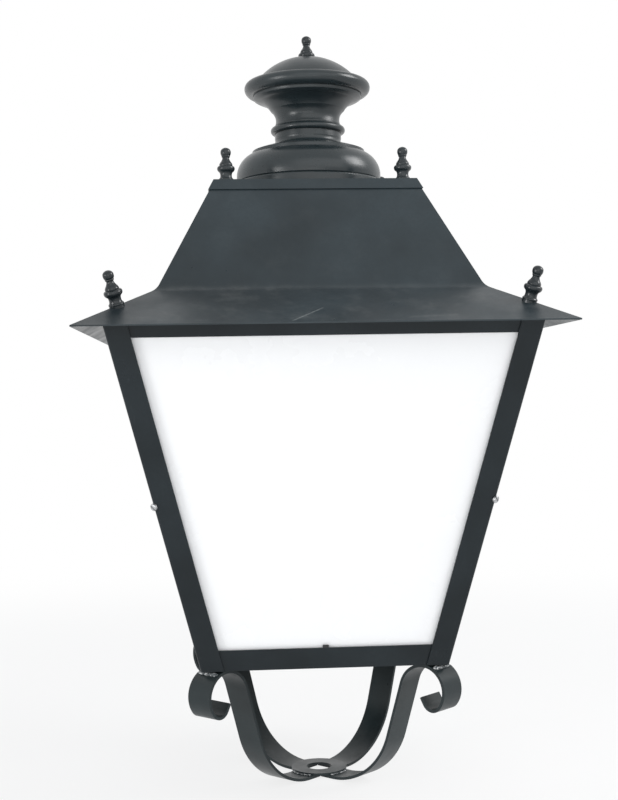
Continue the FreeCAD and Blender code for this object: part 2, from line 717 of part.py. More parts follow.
def hexagon(flats):
    corner = f"({flats}) / sqrt(3)"
    half = f"({corner}) / 2"
    edge = f"({flats}) / 2"
    return [(corner, "0"), (half, edge), (f"-{half}", edge), (f"-({corner})", "0"),
            (f"-{half}", f"-{edge}"), (half, f"-{edge}")]


def make_cable_gland():
    body = new_body("cable_gland")
    flange_z = f"({LEDGE_Z} - gland_flange)"
    flange = new_sketch(body, "XY_Plane", offset=flange_z)
    draw_outline(flange, hexagon("gland_flats"))
    pad(body, flange, "gland_flange")
    cap = "(gland_flats / 2 - gland_cap_inset)"
    cap_z = f"({flange_z} - 1)"
    low = f"({LEDGE_Z} - gland_deep)"
    revolve(body, [("0", cap_z), (cap, cap_z), (cap, f"{low} + gland_cap_dome", "-gland_cap_round"),
                   ("gland_bore / 2 + gland_cap_inset", low), ("0", low)])
    stem = new_sketch(body, "XY_Plane", offset=f"{cap_z} - 0.5")
    draw_circle(stem, "0", "0", "gland_hole / 2")
    pad(body, stem, "gland_thread_long + gland_flange + 1.5")
    drill(body, "gland_bore / 2", "gland_deep + gland_thread_long + 4",
          ("0", "0", f"{low} - 2"))


def make_gland_locknut():
    body = new_body("gland_locknut")
    sketch = new_sketch(body, "XY_Plane", offset=FLOOR_TOP_Z)
    draw_outline(sketch, hexagon("gland_flats"))
    draw_circle(sketch, "0", "0", "gland_hole / 2 + hole_clearance")
    pad(body, sketch, "locknut_tall")


def make_lamp_bridge():
    """Hat-shaped strip over the gland that carries the lampholder."""
    body = new_body("lamp_bridge")
    low, high = FLOOR_TOP_Z, f"({FLOOR_TOP_Z} + bridge_tall)"
    foot_top = f"({low} + bridge_thick)"
    under = f"({high} - bridge_thick)"
    leg = "(bridge_half - bridge_foot)"
    inner = f"({leg} - bridge_thick)"
    sketch = new_sketch(body)
    draw_outline(sketch, [
        ("-bridge_half", low), (f"-{inner}", low), (f"-{inner}", under), (inner, under),
        (inner, low), ("bridge_half", low), ("bridge_half", foot_top), (leg, foot_top),
        (leg, high), (f"-{leg}", high), (f"-{leg}", foot_top), ("-bridge_half", foot_top)])
    pad(body, sketch, "bridge_wide", symmetric=True)
    drill(body, "bridge_hole / 2", "5 * bridge_thick", ("0", "0", f"{high} - 3 * bridge_thick"))


BRIDGE_TOP_Z = f"({FLOOR_TOP_Z} + bridge_tall)"
HOLDER_TOP_Z = f"({BRIDGE_TOP_Z} + holder_tall)"


def make_lampholder():
    """Screw lampholder: a skirted sleeve, open at the top for the lamp's cap."""
    body = new_body("lampholder")
    foot = "(holder_radius - holder_step)"
    foot_top = f"({BRIDGE_TOP_Z} + holder_foot_tall)"
    bore = "(cap_radius + cap_play)"
    floor = f"({HOLDER_TOP_Z} - cap_deep - cap_floor_play)"
    revolve(body, [
        ("0", BRIDGE_TOP_Z), (foot, BRIDGE_TOP_Z), (foot, foot_top),
        ("holder_radius", f"{foot_top} + holder_slope"),
        ("holder_radius", f"{HOLDER_TOP_Z} - holder_round", "holder_round"),
        ("holder_radius - holder_round", HOLDER_TOP_Z),
        (bore, HOLDER_TOP_Z), (bore, floor), ("0", floor)])


def make_lamp():
    cap = new_body("lamp_cap")
    low = f"({HOLDER_TOP_Z} - cap_deep)"
    base = f"({HOLDER_TOP_Z} + cap_rise)"
    revolve(cap, [("0", low), ("cap_contact", low), ("cap_radius - 2", f"{low} + 4"),
                  ("cap_radius", f"{low} + 6"), ("cap_radius", base), ("0", base)])
    globe = new_body("lamp_globe")
    middle = f"({HOLDER_TOP_Z} + globe_tall - globe_radius)"
    revolve(globe, [("0", base), ("cap_radius", base),
                    ("cap_radius + 0.5", f"{base} + 6", "-2 * globe_radius"),
                    ("globe_radius", middle, "globe_radius"), ("0", f"{HOLDER_TOP_Z} + globe_tall")])


def make_terminal_block():
    body = new_body("terminal_block")
    sketch = new_sketch(body, "XY_Plane", offset=FLOOR_TOP_Z)
    draw_outline(sketch, rectangle("-terminal_long / 2", "terminal_y - terminal_wide / 2",
                                   "terminal_long / 2", "terminal_y + terminal_wide / 2"))
    pad(body, sketch, "terminal_base")
    upper = new_sketch(body, "XY_Plane", offset=f"{FLOOR_TOP_Z} + terminal_base")
    half = "(terminal_long / 2 - terminal_end)"
    draw_outline(upper, rectangle(f"-{half}", "terminal_y - terminal_top_wide / 2",
                                  half, "terminal_y + terminal_top_wide / 2"))
    pad(body, upper, "terminal_top")


# -------------------------------------------------------------------------- roof
def bend_ends(half, z, radius):
    """Low and high ends of the soft bend where the eave and the steep side meet at (half, z)."""
    run = f"(({radius}) * tan((roof_pitch - eave_pitch) / 2))"
    low = (f"({half} + {run} * cos(eave_pitch))", f"({z} - {run} * sin(eave_pitch))")
    high = (f"({half} - {run} * cos(roof_pitch))", f"({z} + {run} * sin(roof_pitch))")
    return low, high


def hip_rise():
    """Slope of the eaves along a hip, and fall of the sheet each side of it."""
    hip = "atan(tan(eave_pitch) / sqrt(2))"
    facing = f"(sin(eave_pitch) * sin({hip}) / sqrt(2) + cos(eave_pitch) * cos({hip}))"
    return hip, f"tan(acos({facing}))"


def hip_tilt():
    """Turn from upright to square to the front left hip."""
    hip, _ = hip_rise()
    return Rotation(Vector(0, 0, 1), 225) * Rotation(Vector(0, 1, 0), number(hip))


def make_roof():
    """Folded roof: steep sides that bend out softly into shallow eaves."""
    body = new_body("roof")
    inner_radius = "(bend_soft + sheet)"
    low, high = bend_ends("bend_half", BEND_Z, "bend_soft")
    inner_low, inner_high = bend_ends(INNER_BEND_HALF, eave_under(INNER_BEND_HALF), inner_radius)
    square_ring(body, [
        ("eave_half", EAVE_Z), ("eave_half", f"{EAVE_Z} + {EAVE_RISE}"),
        low + ("-bend_soft",), high,
        (roof_half(ROOF_TOP_Z), ROOF_TOP_Z), (f"{roof_half(ROOF_TOP_Z)} - {WALL_RUN}", ROOF_TOP_Z),
        inner_high + (inner_radius,), inner_low])
    hip, _ = hip_rise()
    reach = "(finial_stud_long + 2)"
    level = f"-eave_finial_half + {reach} * sin({hip}) / sqrt(2)"
    low = f"{eave_under('eave_finial_half')} + {EAVE_RISE} - {reach} * cos({hip})"
    stud = drill(body, "finial_stud / 2 + hole_clearance", f"2 * {reach}", (level, level, low),
                 hip_tilt())
    around(body, stud)


def make_tray():
    """Tray that closes the roof: a flat top and a lip folded down the roof's sides."""
    body = new_body("roof_tray")
    run = f"({WALL_RUN} + tray_gap)"
    low = f"({TRAY_TOP_Z} - tray_lip)"
    sketch = new_sketch(body, "XY_Plane", offset=ROOF_TOP_Z)
    half = f"({roof_half(ROOF_TOP_Z)} + tray_gap)"
    draw_outline(sketch, rectangle(f"-{half}", f"-{half}", half, half))
    pad(body, sketch, "sheet")
    square_ring(body, [
        (f"{roof_half(low)} + tray_gap", low), (f"{roof_half(low)} + {run}", low),
        (f"{roof_half(TRAY_TOP_Z)} + {run}", TRAY_TOP_Z),
        (f"{roof_half(TRAY_TOP_Z)} + tray_gap - 1", TRAY_TOP_Z),
        (f"{roof_half(ROOF_TOP_Z)} + tray_gap - 1", ROOF_TOP_Z),
        (f"{roof_half(ROOF_TOP_Z)} + tray_gap", ROOF_TOP_Z)])
    drill(body, "tie_diameter / 2 + hole_clearance", "10", ("0", "0", f"{ROOF_TOP_Z} - 4"))
    stud = drill(body, "finial_stud / 2 + hole_clearance", "10",
                 ("tray_finial_half", "tray_finial_half", f"{ROOF_TOP_Z} - 4"))
    around(body, stud)


# ----------------------------------------------------------------------- chimney
def above_tray(z):
    return f"({TRAY_TOP_Z} + {z})"


def round_through(deep, tall):
    """Radius of the arc that starts upright and goes in by deep over a height of tall."""
    return f"((({deep}) ^ 2 + ({tall}) ^ 2) / (2 * ({deep})))"


def make_chimney_base():
    """Spun drum with a foot ring, a round shoulder, a step and a cone up to the neck."""
    body = new_body("chimney_base")
    wall = "spun_wall"
    drum_z = "foot_tall + 1.6"
    revolve(body, [
        ("foot_radius", above_tray("0")), ("foot_radius", above_tray("foot_tall - 1.5"), "1.5"),
        ("foot_radius - 1.5", above_tray("foot_tall")),
        ("drum_radius - 0.8", above_tray("foot_tall + 0.4")),
        ("drum_radius", above_tray(drum_z), "drum_round"),
        ("shoulder_radius", above_tray("shoulder_z")),
        ("cone_radius", above_tray("shoulder_z + 0.4")),
        ("cone_radius", above_tray("cone_z"), "cone_bow"),
        ("neck_radius + 3.5", above_tray("cone_top_z"), "-6"),
        ("neck_radius", above_tray("neck_low_z")),
        (f"neck_radius - {wall}", above_tray("neck_low_z")),
        (f"neck_radius - {wall}", above_tray("cone_top_z - 2")),
        (f"cone_radius - {wall}", above_tray(f"cone_z - {wall}")),
        (f"shoulder_radius - {wall}", above_tray(f"shoulder_z - {wall}"), f"{wall} - drum_round"),
        (f"drum_radius - {wall}", above_tray(drum_z)),
        (f"drum_radius - {wall}", above_tray("0"))])


def make_chimney_collar():
    """Beaded ring round the neck."""
    body = new_body("chimney_collar")
    inner = "(neck_radius - spun_wall)"
    foot = "(neck_radius + 0.8)"
    bend = round_through(f"bead_radius - {foot}", "bead_tall / 2")
    low, high = "bead_z - bead_tall / 2", "bead_z + bead_tall / 2"
    revolve(body, [
        (inner, above_tray("neck_low_z")), ("neck_radius", above_tray("neck_low_z")),
        ("neck_radius", above_tray(low)), (foot, above_tray(low), bend), (foot, above_tray(high)),
        ("neck_radius", above_tray(f"{high} + 0.6")), ("neck_radius", above_tray("bowl_z")),
        (inner, above_tray("bowl_z"))])


def make_chimney_bowl():
    """Spun bowl that opens from the neck to the cap and ends in a small upright edge."""
    body = new_body("chimney_bowl")
    wall = "spun_wall"
    foot = "(neck_radius - 0.4)"
    edge = "(lip_radius - 0.7)"
    edge_z = "lip_z - 3.2"
    revolve(body, [
        (foot, above_tray("bowl_z"), "-bowl_round"),
        ("hollow_radius", above_tray("hollow_z"), "-flare_round"),
        ("flare_radius", above_tray("flare_z"), "24"),
        (f"{edge} - 0.6", above_tray(edge_z), "6"), (edge, above_tray("lip_z")),
        (f"{edge} - 1.4 * {wall}", above_tray("lip_z")),
        (f"{edge} - 1.4 * {wall}", above_tray(f"{edge_z} + 0.5 * {wall}"), "-22.5"),
        (f"flare_radius - 0.6 * {wall}", above_tray(f"flare_z + 0.85 * {wall}"),
         f"flare_round + {wall}"),
        (f"hollow_radius - 0.9 * {wall}", above_tray(f"hollow_z + 0.4 * {wall}"),
         f"bowl_round + {wall}"),
        (f"{foot} - {wall}", above_tray("bowl_z"))])


def make_chimney_cap():
    """Cap with a rolled rim, a crease and a domed crown with a hole for the tie bolt."""
    body = new_body("chimney_cap")
    wall = "spun_wall"
    hole = "(tie_diameter / 2 + hole_clearance)"
    roll_low = round_through("rim_radius - lip_radius", "rim_z - lip_z")
    roll_high = round_through("rim_radius - brim_radius", "brim_z - rim_z")
    dome = round_through("crown_top_z - crown_z", "crown_radius")
    foot = "(lip_radius - 2.2)"
    revolve(body, [
        ("lip_radius", above_tray("lip_z"), roll_low),
        ("rim_radius", above_tray("rim_z"), roll_high), ("brim_radius", above_tray("brim_z")),
        ("crown_radius + 1.9", above_tray("brim_z + 0.5")),
        ("crown_radius + 0.6", above_tray("brim_z + 0.5")),
        ("crown_radius", above_tray("crown_z"), dome), (hole, above_tray("crown_top_z")),
        (hole, above_tray(f"crown_top_z - {wall}"), f"{wall} - {dome}"),
        ("crown_radius - 1.1", above_tray("crown_z - 1")),
        ("brim_radius - 0.8", above_tray(f"brim_z - {wall}"), f"{wall} - {roll_high}"),
        (f"rim_radius - {wall}", above_tray("rim_z"), f"{wall} - {roll_low}"),
        ("lip_radius + 0.3", above_tray(f"lip_z + {wall}")), (foot, above_tray(f"lip_z + {wall}")),
        (foot, above_tray("lip_z"))])


def make_tie_bolt():
    """Bolt from under the tray up through the chimney into the top finial."""
    body = new_body("chimney_tie_bolt")
    head = new_sketch(body, "XY_Plane", offset=f"{ROOF_TOP_Z} - tie_head_tall")
    draw_outline(head, hexagon("tie_head_flats"))
    pad(body, head, "tie_head_tall")
    shank = new_sketch(body, "XY_Plane", offset=f"{ROOF_TOP_Z} - tie_head_tall / 2")
    draw_circle(shank, "0", "0", "tie_diameter / 2")
    pad(body, shank, "tie_head_tall / 2 + sheet + crown_top_z + tie_hold")


# ----------------------------------------------------------------------- finials
def finial_top(base):
    """Outline of a finial from its main bead up to the ball, above its foot at base."""
    def up(z):
        return f"({base} + {z})"

    bead_low = up("finial_bead_z - finial_bead_half")
    bead_high = up("finial_bead_z + finial_bead_half")
    ring = "(finial_neck + 1)"
    return [
        ("finial_bead - finial_bead_half", bead_low, "finial_bead_half * 1.002"),
        ("finial_bead - finial_bead_half", bead_high),
        ("finial_collar - 0.6", bead_high, "2.6"),
        ("finial_collar - 1.4", up("finial_bead_z + finial_bead_half + 3.8")),
        ("finial_collar - 1.5", up("finial_bead_z + finial_bead_half + 3.8"), "-6"),
        ("finial_neck", up("finial_neck_z")), ("finial_neck", up("finial_neck_z + 1.2"), "1.9"),
        (f"{ring} - 0.2", up("finial_tall - 1.4 * finial_ball - 0.1")),
        ("finial_ball * sqrt(1 - 0.4 * 0.4)", up("finial_tall - 1.4 * finial_ball"), "finial_ball"),
        ("0", up("finial_tall"))]


def finial_foot(base, sole="0"):
    """Outline of a finial's foot and waist, from its axis out and up to the main bead."""
    return [
        ("0", f"({base} - {sole})"), ("finial_foot", f"({base} - {sole})"),
        ("finial_foot", f"({base} + 1.2)", "2.2"), ("finial_waist + 0.5", f"({base} + finial_foot_z)"),
        ("finial_waist + 0.4", f"({base} + finial_foot_z)", "-11"),
        ("finial_waist + 0.4", f"({base} + finial_bead_z - finial_bead_half)")]


def stud_outline(base):
    """Outline of a finial's riveted stud, below its foot."""
    return [("0", f"({base} - finial_stud_long)"), ("finial_stud / 2", f"({base} - finial_stud_long)"),
            ("finial_stud / 2", f"({base} + 1)"), ("0", f"({base} + 1)")]


def make_tray_finial(corner, steps):
    body = new_body(f"tray_finial_{corner}")
    revolve(body, finial_foot("0") + finial_top("0"))
    revolve(body, stud_outline("0"))
    place = Vector(-number("tray_finial_half"), -number("tray_finial_half"), number(TRAY_TOP_Z))
    body.Placement = quarter_turns(steps) * Placement(place, Rotation())


def make_eave_finial(corner, steps):
    """Finial square to the hip, its foot notched to sit astride the ridge."""
    body = new_body(f"eave_finial_{corner}")
    hip, fall = hip_rise()
    revolve(body, finial_foot("0", sole=f"(finial_foot * {fall})") + finial_top("0"))
    wedge = new_sketch(body, "YZ_Plane")
    reach = "(finial_foot + 2)"
    draw_outline(wedge, [("0", "0"), (f"-{reach}", f"-{reach} * {fall}"),
                         (f"-{reach}", "-2 * finial_foot"), (reach, "-2 * finial_foot"),
                         (reach, f"-{reach} * {fall}")])
    pocket(body, wedge, "4 * finial_foot", symmetric=True)
    revolve(body, stud_outline("0"))
    half = number("eave_finial_half")
    z = number(f"{eave_under('eave_finial_half')} + {EAVE_RISE}")
    body.Placement = quarter_turns(steps) * Placement(Vector(-half, -half, z), hip_tilt())


def make_chimney_finial():
    """Finial whose bead sits on the crown, tapped for the tie bolt."""
    body = new_body("chimney_finial")
    base = f"({TRAY_TOP_Z} + crown_top_z - finial_bead_z + finial_bead_half)"
    low = f"({base} + finial_bead_z - finial_bead_half)"
    revolve(body, [("0", low)] + finial_top(base))
    drill(body, "tie_diameter / 2 + hole_clearance", "2 + tie_hold + tie_hole_spare",
          ("0", "0", f"{low} - 2"))


# ------------------------------------------------------------------------ hinges
def leaf_outline(side):
    """Leaf flat on its seat, seen along the pin with the pin at the origin and the leaf
    running to +X on the side given, +1 over the pin and -1 under it."""
    near = f"({side}) * (hinge_knuckle + hinge_gap - hinge_wall)"
    far = f"({side}) * (hinge_knuckle + hinge_gap)"
    return [("0", near), ("hinge_leaf", near), ("hinge_leaf", far), ("0", far)]


def knuckle_spans(owner):
    """Start and length of each knuckle along the pin: outer pair or the middle one."""
    third = "(hinge_long / 3)"
    play = "(hinge_gap / 2)"
    if owner == "frame":
        return [("-hinge_long / 2", f"({third} - {play})"),
                (f"({third} / 2 + {play})", f"({third} - {play})")]
    return [(f"(-{third} / 2 + {play})", f"({third} - 2 * {play})")]


def make_hinge_leaf(owner, hand, x, side, turn):
    body = new_body(f"hinge_{owner}_leaf_{hand}")
    other = "roof" if owner == "frame" else "frame"
    sketch = new_sketch(body, "XY_Plane")
    draw_outline(sketch, leaf_outline(side))
    pad(body, sketch, "hinge_long", symmetric=True)
    for start, length in knuckle_spans(other):
        cut = new_sketch(body, "XY_Plane", offset=f"{start} - 2 * hinge_gap")
        reach = "(hinge_knuckle + hinge_gap)"
        draw_outline(cut, rectangle("-1", f"-{reach} - 1", reach, f"{reach} + 1"))
        pocket(body, cut, f"{length} + 4 * hinge_gap", backward=True)
    for start, length in knuckle_spans(owner):
        ring = new_sketch(body, "XY_Plane", offset=start)
        draw_circle(ring, "0", "0", "hinge_knuckle")
        pad(body, ring, length)
    drill(body, "hinge_pin + hinge_play", "hinge_long + 4", ("0", "0", "-hinge_long / 2 - 2"))
    body.Placement = Placement(Vector(x, number(HINGE_Y), number(HINGE_Z)), turn)


def make_hinge_pin(hand, x):
    """Pin with a head at each end."""
    body = new_body(f"hinge_pin_{hand}")
    shank = new_sketch(body, "XY_Plane", offset="-hinge_long / 2 - 0.5")
    draw_circle(shank, "0", "0", "hinge_pin")
    pad(body, shank, "hinge_long + 1")
    for start in ("-hinge_long / 2 - 1.3", "hinge_long / 2 + 0.1"):
        head = new_sketch(body, "XY_Plane", offset=start)
        draw_circle(head, "0", "0", "hinge_pin + 1")
        pad(body, head, "1.2")
    turn = Rotation(Vector(0, 1, 0), 90)
    body.Placement = Placement(Vector(x, number(HINGE_Y), number(HINGE_Z)), turn)


def make_hinges():
    """Two butt hinges between the back top rail and the underside of the back eave."""
    along = Rotation(Vector(0, 1, 0), Vector(0, 0, 1), Vector(1, 0, 0), "ZXY")
    lean = number(f"atan({LEAN})")
    pitch = number("eave_pitch")
    for hand, sign in (("left", -1), ("right", 1)):
        x = sign * number("hinge_at")
        frame_turn = Rotation(Vector(1, 0, 0), -90 - lean) * along
        roof_turn = Rotation(Vector(1, 0, 0), -pitch) * along
        make_hinge_leaf("frame", hand, x, "-1", frame_turn)
        make_hinge_leaf("roof", hand, x, "1", roof_turn)
        make_hinge_pin(hand, x)


# ----------------------------------------------------------------- side catches
def make_catch_plate(hand, steps):
    """Slotted plate under the side eave that drops over the thumb screw's shank."""
    body = new_body(f"catch_plate_{hand}")
    inner = CATCH_X
    outer = f"({CATCH_X} + catch_thick)"
    low = f"({CATCH_Z} - catch_drop)"
    drop = "(catch_thick / cos(eave_pitch))"
    end = f"({outer} + catch_flange)"
    sketch = new_sketch(body)
    draw_outline(sketch, [
        (inner, low), (outer, low), (outer, f"{eave_under(outer)} - {drop}"),
        (end, f"{eave_under(end)} - {drop}"), (end, eave_under(end)), (inner, eave_under(inner))])
    pad(body, sketch, "catch_wide", symmetric=True)
    slot = new_sketch(body, "YZ_Plane", offset=f"{inner} - 1")
    half = "(catch_slot / 2)"
    draw_outline(slot, [(f"-{half}", f"{low} - 1"), (half, f"{low} - 1"),
                        (half, CATCH_Z, f"{half} * 1.001"), (f"-{half}", CATCH_Z)])
    pocket(body, slot, "catch_thick + 2", backward=True)
    body.Placement = quarter_turns(steps)


def make_catch_boss(hand, steps):
    """Threaded boss on the side rail, cut to the lean of the rail's face."""
    body = new_body(f"catch_boss_{hand}")
    face = f"({CATCH_X} - catch_gap)"
    sketch = new_sketch(body, "YZ_Plane", offset=f"{face} - 9")
    draw_circle(sketch, "0", CATCH_Z, "boss_diameter / 2")
    draw_circle(sketch, "0", CATCH_Z, "thumb_diameter / 2 + thumb_play")
    pad(body, sketch, "9")
    cut = new_sketch(body)
    low, high = f"({CATCH_Z} - boss_diameter)", f"({CATCH_Z} + boss_diameter)"
    draw_outline(cut, [(frame_half(low, RAIL_FACE), low), (frame_half(high, RAIL_FACE), high),
                       (f"{face} - 20", high), (f"{face} - 20", low)])
    pocket(body, cut, "2 * boss_diameter", symmetric=True)
    body.Placement = quarter_turns(steps)


def make_thumb_screw(hand, steps):
    """Thumb screw with a fluted head, in the boss and through the catch plate's slot."""
    body = new_body(f"thumb_screw_{hand}")
    head_at = f"({CATCH_X} + catch_thick + catch_gap)"
    tip = f"({frame_half(CATCH_Z, RAIL_BACK)} + 1)"
    head = new_sketch(body, "YZ_Plane", offset=head_at)
    draw_circle(head, "0", CATCH_Z, "thumb_head / 2")
    pad(body, head, "thumb_head_long")
    flute = new_sketch(body, "YZ_Plane", offset=head_at)
    draw_circle(flute, "thumb_head / 2 + flute_out", CATCH_Z, "flute_radius")
    pocket(body, flute, "thumb_head_long - flute_stop", backward=True)
    shank = new_sketch(body, "YZ_Plane", offset=tip)
    draw_circle(shank, "0", CATCH_Z, "thumb_diameter / 2")
    pad(body, shank, f"{head_at} - {tip} + 1")
    body.Placement = quarter_turns(steps)


# ------------------------------------------------------------------------- build
make_mounting_ring()
for turn_steps, corner_name in enumerate(CORNERS):
    make_strap(corner_name, turn_steps)
    make_post(corner_name, turn_steps)
    make_tray_finial(corner_name, turn_steps)
    make_eave_finial(corner_name, turn_steps)
for turn_steps, side_name in enumerate(SIDES):
    make_bottom_rail(side_name, turn_steps)
    make_top_rail(side_name, turn_steps)
    make_pane(side_name, turn_steps)
make_pane_wedges()
make_pane_clips()
make_corner_screws()
make_floor_plate()
make_cable_gland()
make_gland_locknut()
make_lamp_bridge()
make_lampholder()
make_lamp()
make_terminal_block()
make_roof()
make_tray()
make_chimney_base()
make_chimney_collar()
make_chimney_bowl()
make_chimney_cap()
make_tie_bolt()
make_chimney_finial()
make_hinges()
for hand_name, turn_steps in (("right", 0), ("left", 2)):
    make_catch_plate(hand_name, turn_steps)
    make_catch_boss(hand_name, turn_steps)
    make_thumb_screw(hand_name, turn_steps)

doc.recompute()
for item in doc.Objects:
    if "Invalid" in item.State or "Error" in item.State:
        raise RuntimeError(f"{item.Name} failed: {item.State}")
os.makedirs("parts", exist_ok=True)
for part in parts:
    if part.Shape.isNull() or not part.Shape.isValid() or not part.Shape.Solids:
        raise RuntimeError(f"{part.Label} has no valid solid")
    part.Shape.exportStep(os.path.join("parts", part.Label + ".step"))
print(len(parts), "sub-parts")
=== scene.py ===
import math

import bmesh
import bpy
from mathutils import Matrix, Vector


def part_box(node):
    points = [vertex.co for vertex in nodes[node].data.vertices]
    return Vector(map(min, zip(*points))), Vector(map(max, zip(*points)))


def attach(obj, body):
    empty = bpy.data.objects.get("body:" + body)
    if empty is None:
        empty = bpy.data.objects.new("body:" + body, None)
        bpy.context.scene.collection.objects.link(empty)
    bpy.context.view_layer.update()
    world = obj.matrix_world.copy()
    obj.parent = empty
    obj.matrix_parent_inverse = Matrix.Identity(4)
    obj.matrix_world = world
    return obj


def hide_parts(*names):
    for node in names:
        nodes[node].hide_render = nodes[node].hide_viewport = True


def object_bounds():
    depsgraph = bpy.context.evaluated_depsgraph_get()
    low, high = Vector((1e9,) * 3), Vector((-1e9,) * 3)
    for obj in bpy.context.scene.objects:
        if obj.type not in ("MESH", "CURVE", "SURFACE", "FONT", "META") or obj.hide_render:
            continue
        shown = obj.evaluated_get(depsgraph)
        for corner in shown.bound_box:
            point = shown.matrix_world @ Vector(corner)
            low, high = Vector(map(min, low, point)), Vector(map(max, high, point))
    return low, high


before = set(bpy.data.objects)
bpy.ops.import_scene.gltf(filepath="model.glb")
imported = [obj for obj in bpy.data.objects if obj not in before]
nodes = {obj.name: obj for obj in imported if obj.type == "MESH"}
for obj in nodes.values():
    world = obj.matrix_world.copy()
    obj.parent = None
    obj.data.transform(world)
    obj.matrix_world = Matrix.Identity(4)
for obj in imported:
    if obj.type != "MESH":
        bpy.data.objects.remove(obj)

cad_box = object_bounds()
scene = bpy.context.scene
MM = 0.001
UP = Vector((0, 0, 1))
CORNERS = ("front_left", "front_right", "back_right", "back_left")
HANDS = (("left", -1), ("right", 1))

# ------------------------------ driving sizes shared with the CAD model, millimetres
FRAME_BOTTOM_Z, FRAME_BOTTOM_HALF = 133.0, 124.7
FRAME_TOP_Z, FRAME_TOP_HALF = 484.5, 211.0
FRAME_LEAN = math.atan((FRAME_TOP_HALF - FRAME_BOTTOM_HALF) / (FRAME_TOP_Z - FRAME_BOTTOM_Z))
EAVE_PITCH = math.radians(26.6)
EAVE_HALF = 235.7
EAVE_EDGE_Z = 472.431       # underside of the eaves at their edge
CATCH_THICK = 1.5           # sheet of the catch plates

# ------------------------------------------------------------------ the camera
CAMERA_AT = Vector((-0.10065, -1.43955, 0.4046))
YAW, PITCH, ROLL = 0.0671, -0.0020, -0.0177     # radians
FOCAL_PIXELS = 1318.66
PHOTO_TALL = 800            # pixels
SENSOR = 36.0               # millimetres


def make_camera():
    """Camera at the photograph's viewpoint."""
    forward = Vector((math.sin(YAW) * math.cos(PITCH), math.cos(YAW) * math.cos(PITCH),
                      math.sin(PITCH)))
    level = forward.cross(UP).normalized()
    upright = level.cross(forward)
    right = level * math.cos(ROLL) + upright * math.sin(ROLL)
    up = upright * math.cos(ROLL) - level * math.sin(ROLL)
    data = bpy.data.cameras.new("camera")
    data.sensor_width = SENSOR
    data.lens = FOCAL_PIXELS * SENSOR / PHOTO_TALL
    camera = bpy.data.objects.new("camera", data)
    turn = Matrix((right, up, -forward)).transposed().to_4x4()
    camera.matrix_world = Matrix.Translation(CAMERA_AT) @ turn
    scene.collection.objects.link(camera)
    scene.camera = camera


make_camera()


# --------------------------------------------------------------- material tools
class Graph:
    """A node tree with a few short ways to add to it."""

    def __init__(self, owner):
        owner.use_nodes = True
        self.owner = owner
        self.tree = owner.node_tree

    def add(self, kind, **settings):
        """New node of a kind, with its settings."""
        node = self.tree.nodes.new(kind)
        for key, value in settings.items():
            setattr(node, key, value)
        return node

    def feed(self, socket, value):
        """Links an input to an output, or sets it to a plain number or colour."""
        if isinstance(value, bpy.types.NodeSocket):
            self.tree.links.new(value, socket)
        elif socket.type == "RGBA":
            socket.default_value = (*value, 1.0)
        else:
            socket.default_value = value

    def put(self, node, **values):
        """Feeds inputs by their names, with _ for a space."""
        for key, value in values.items():
            self.feed(node.inputs[key.replace("_", " ")], value)
        return node

    def fed(self, node, *values):
        """Feeds the first inputs in their order and gives the first output."""
        for socket, value in zip(node.inputs, values):
            self.feed(socket, value)
        return node.outputs[0]

    def math(self, kind, a, b=0.0):
        return self.fed(self.add("ShaderNodeMath", operation=kind), a, b)

    def times(self, a, b):
        return self.math("MULTIPLY", a, b)

    def axes(self, vector):
        """The three outputs X, Y and Z of a vector."""
        node = self.add("ShaderNodeSeparateXYZ")
        self.fed(node, vector)
        return node.outputs

    def mix_shaders(self, share, a, b):
        return self.fed(self.add("ShaderNodeMixShader"), share, a, b)

    def shows_backdrop(self):
        """1 on rays that show the backdrop: from the camera, in gloss and through glass."""
        path = self.add("ShaderNodeLightPath")
        seen = self.math("MAXIMUM", path.outputs["Is Camera Ray"], path.outputs["Is Glossy Ray"])
        return self.math("MAXIMUM", seen, path.outputs["Is Transmission Ray"])


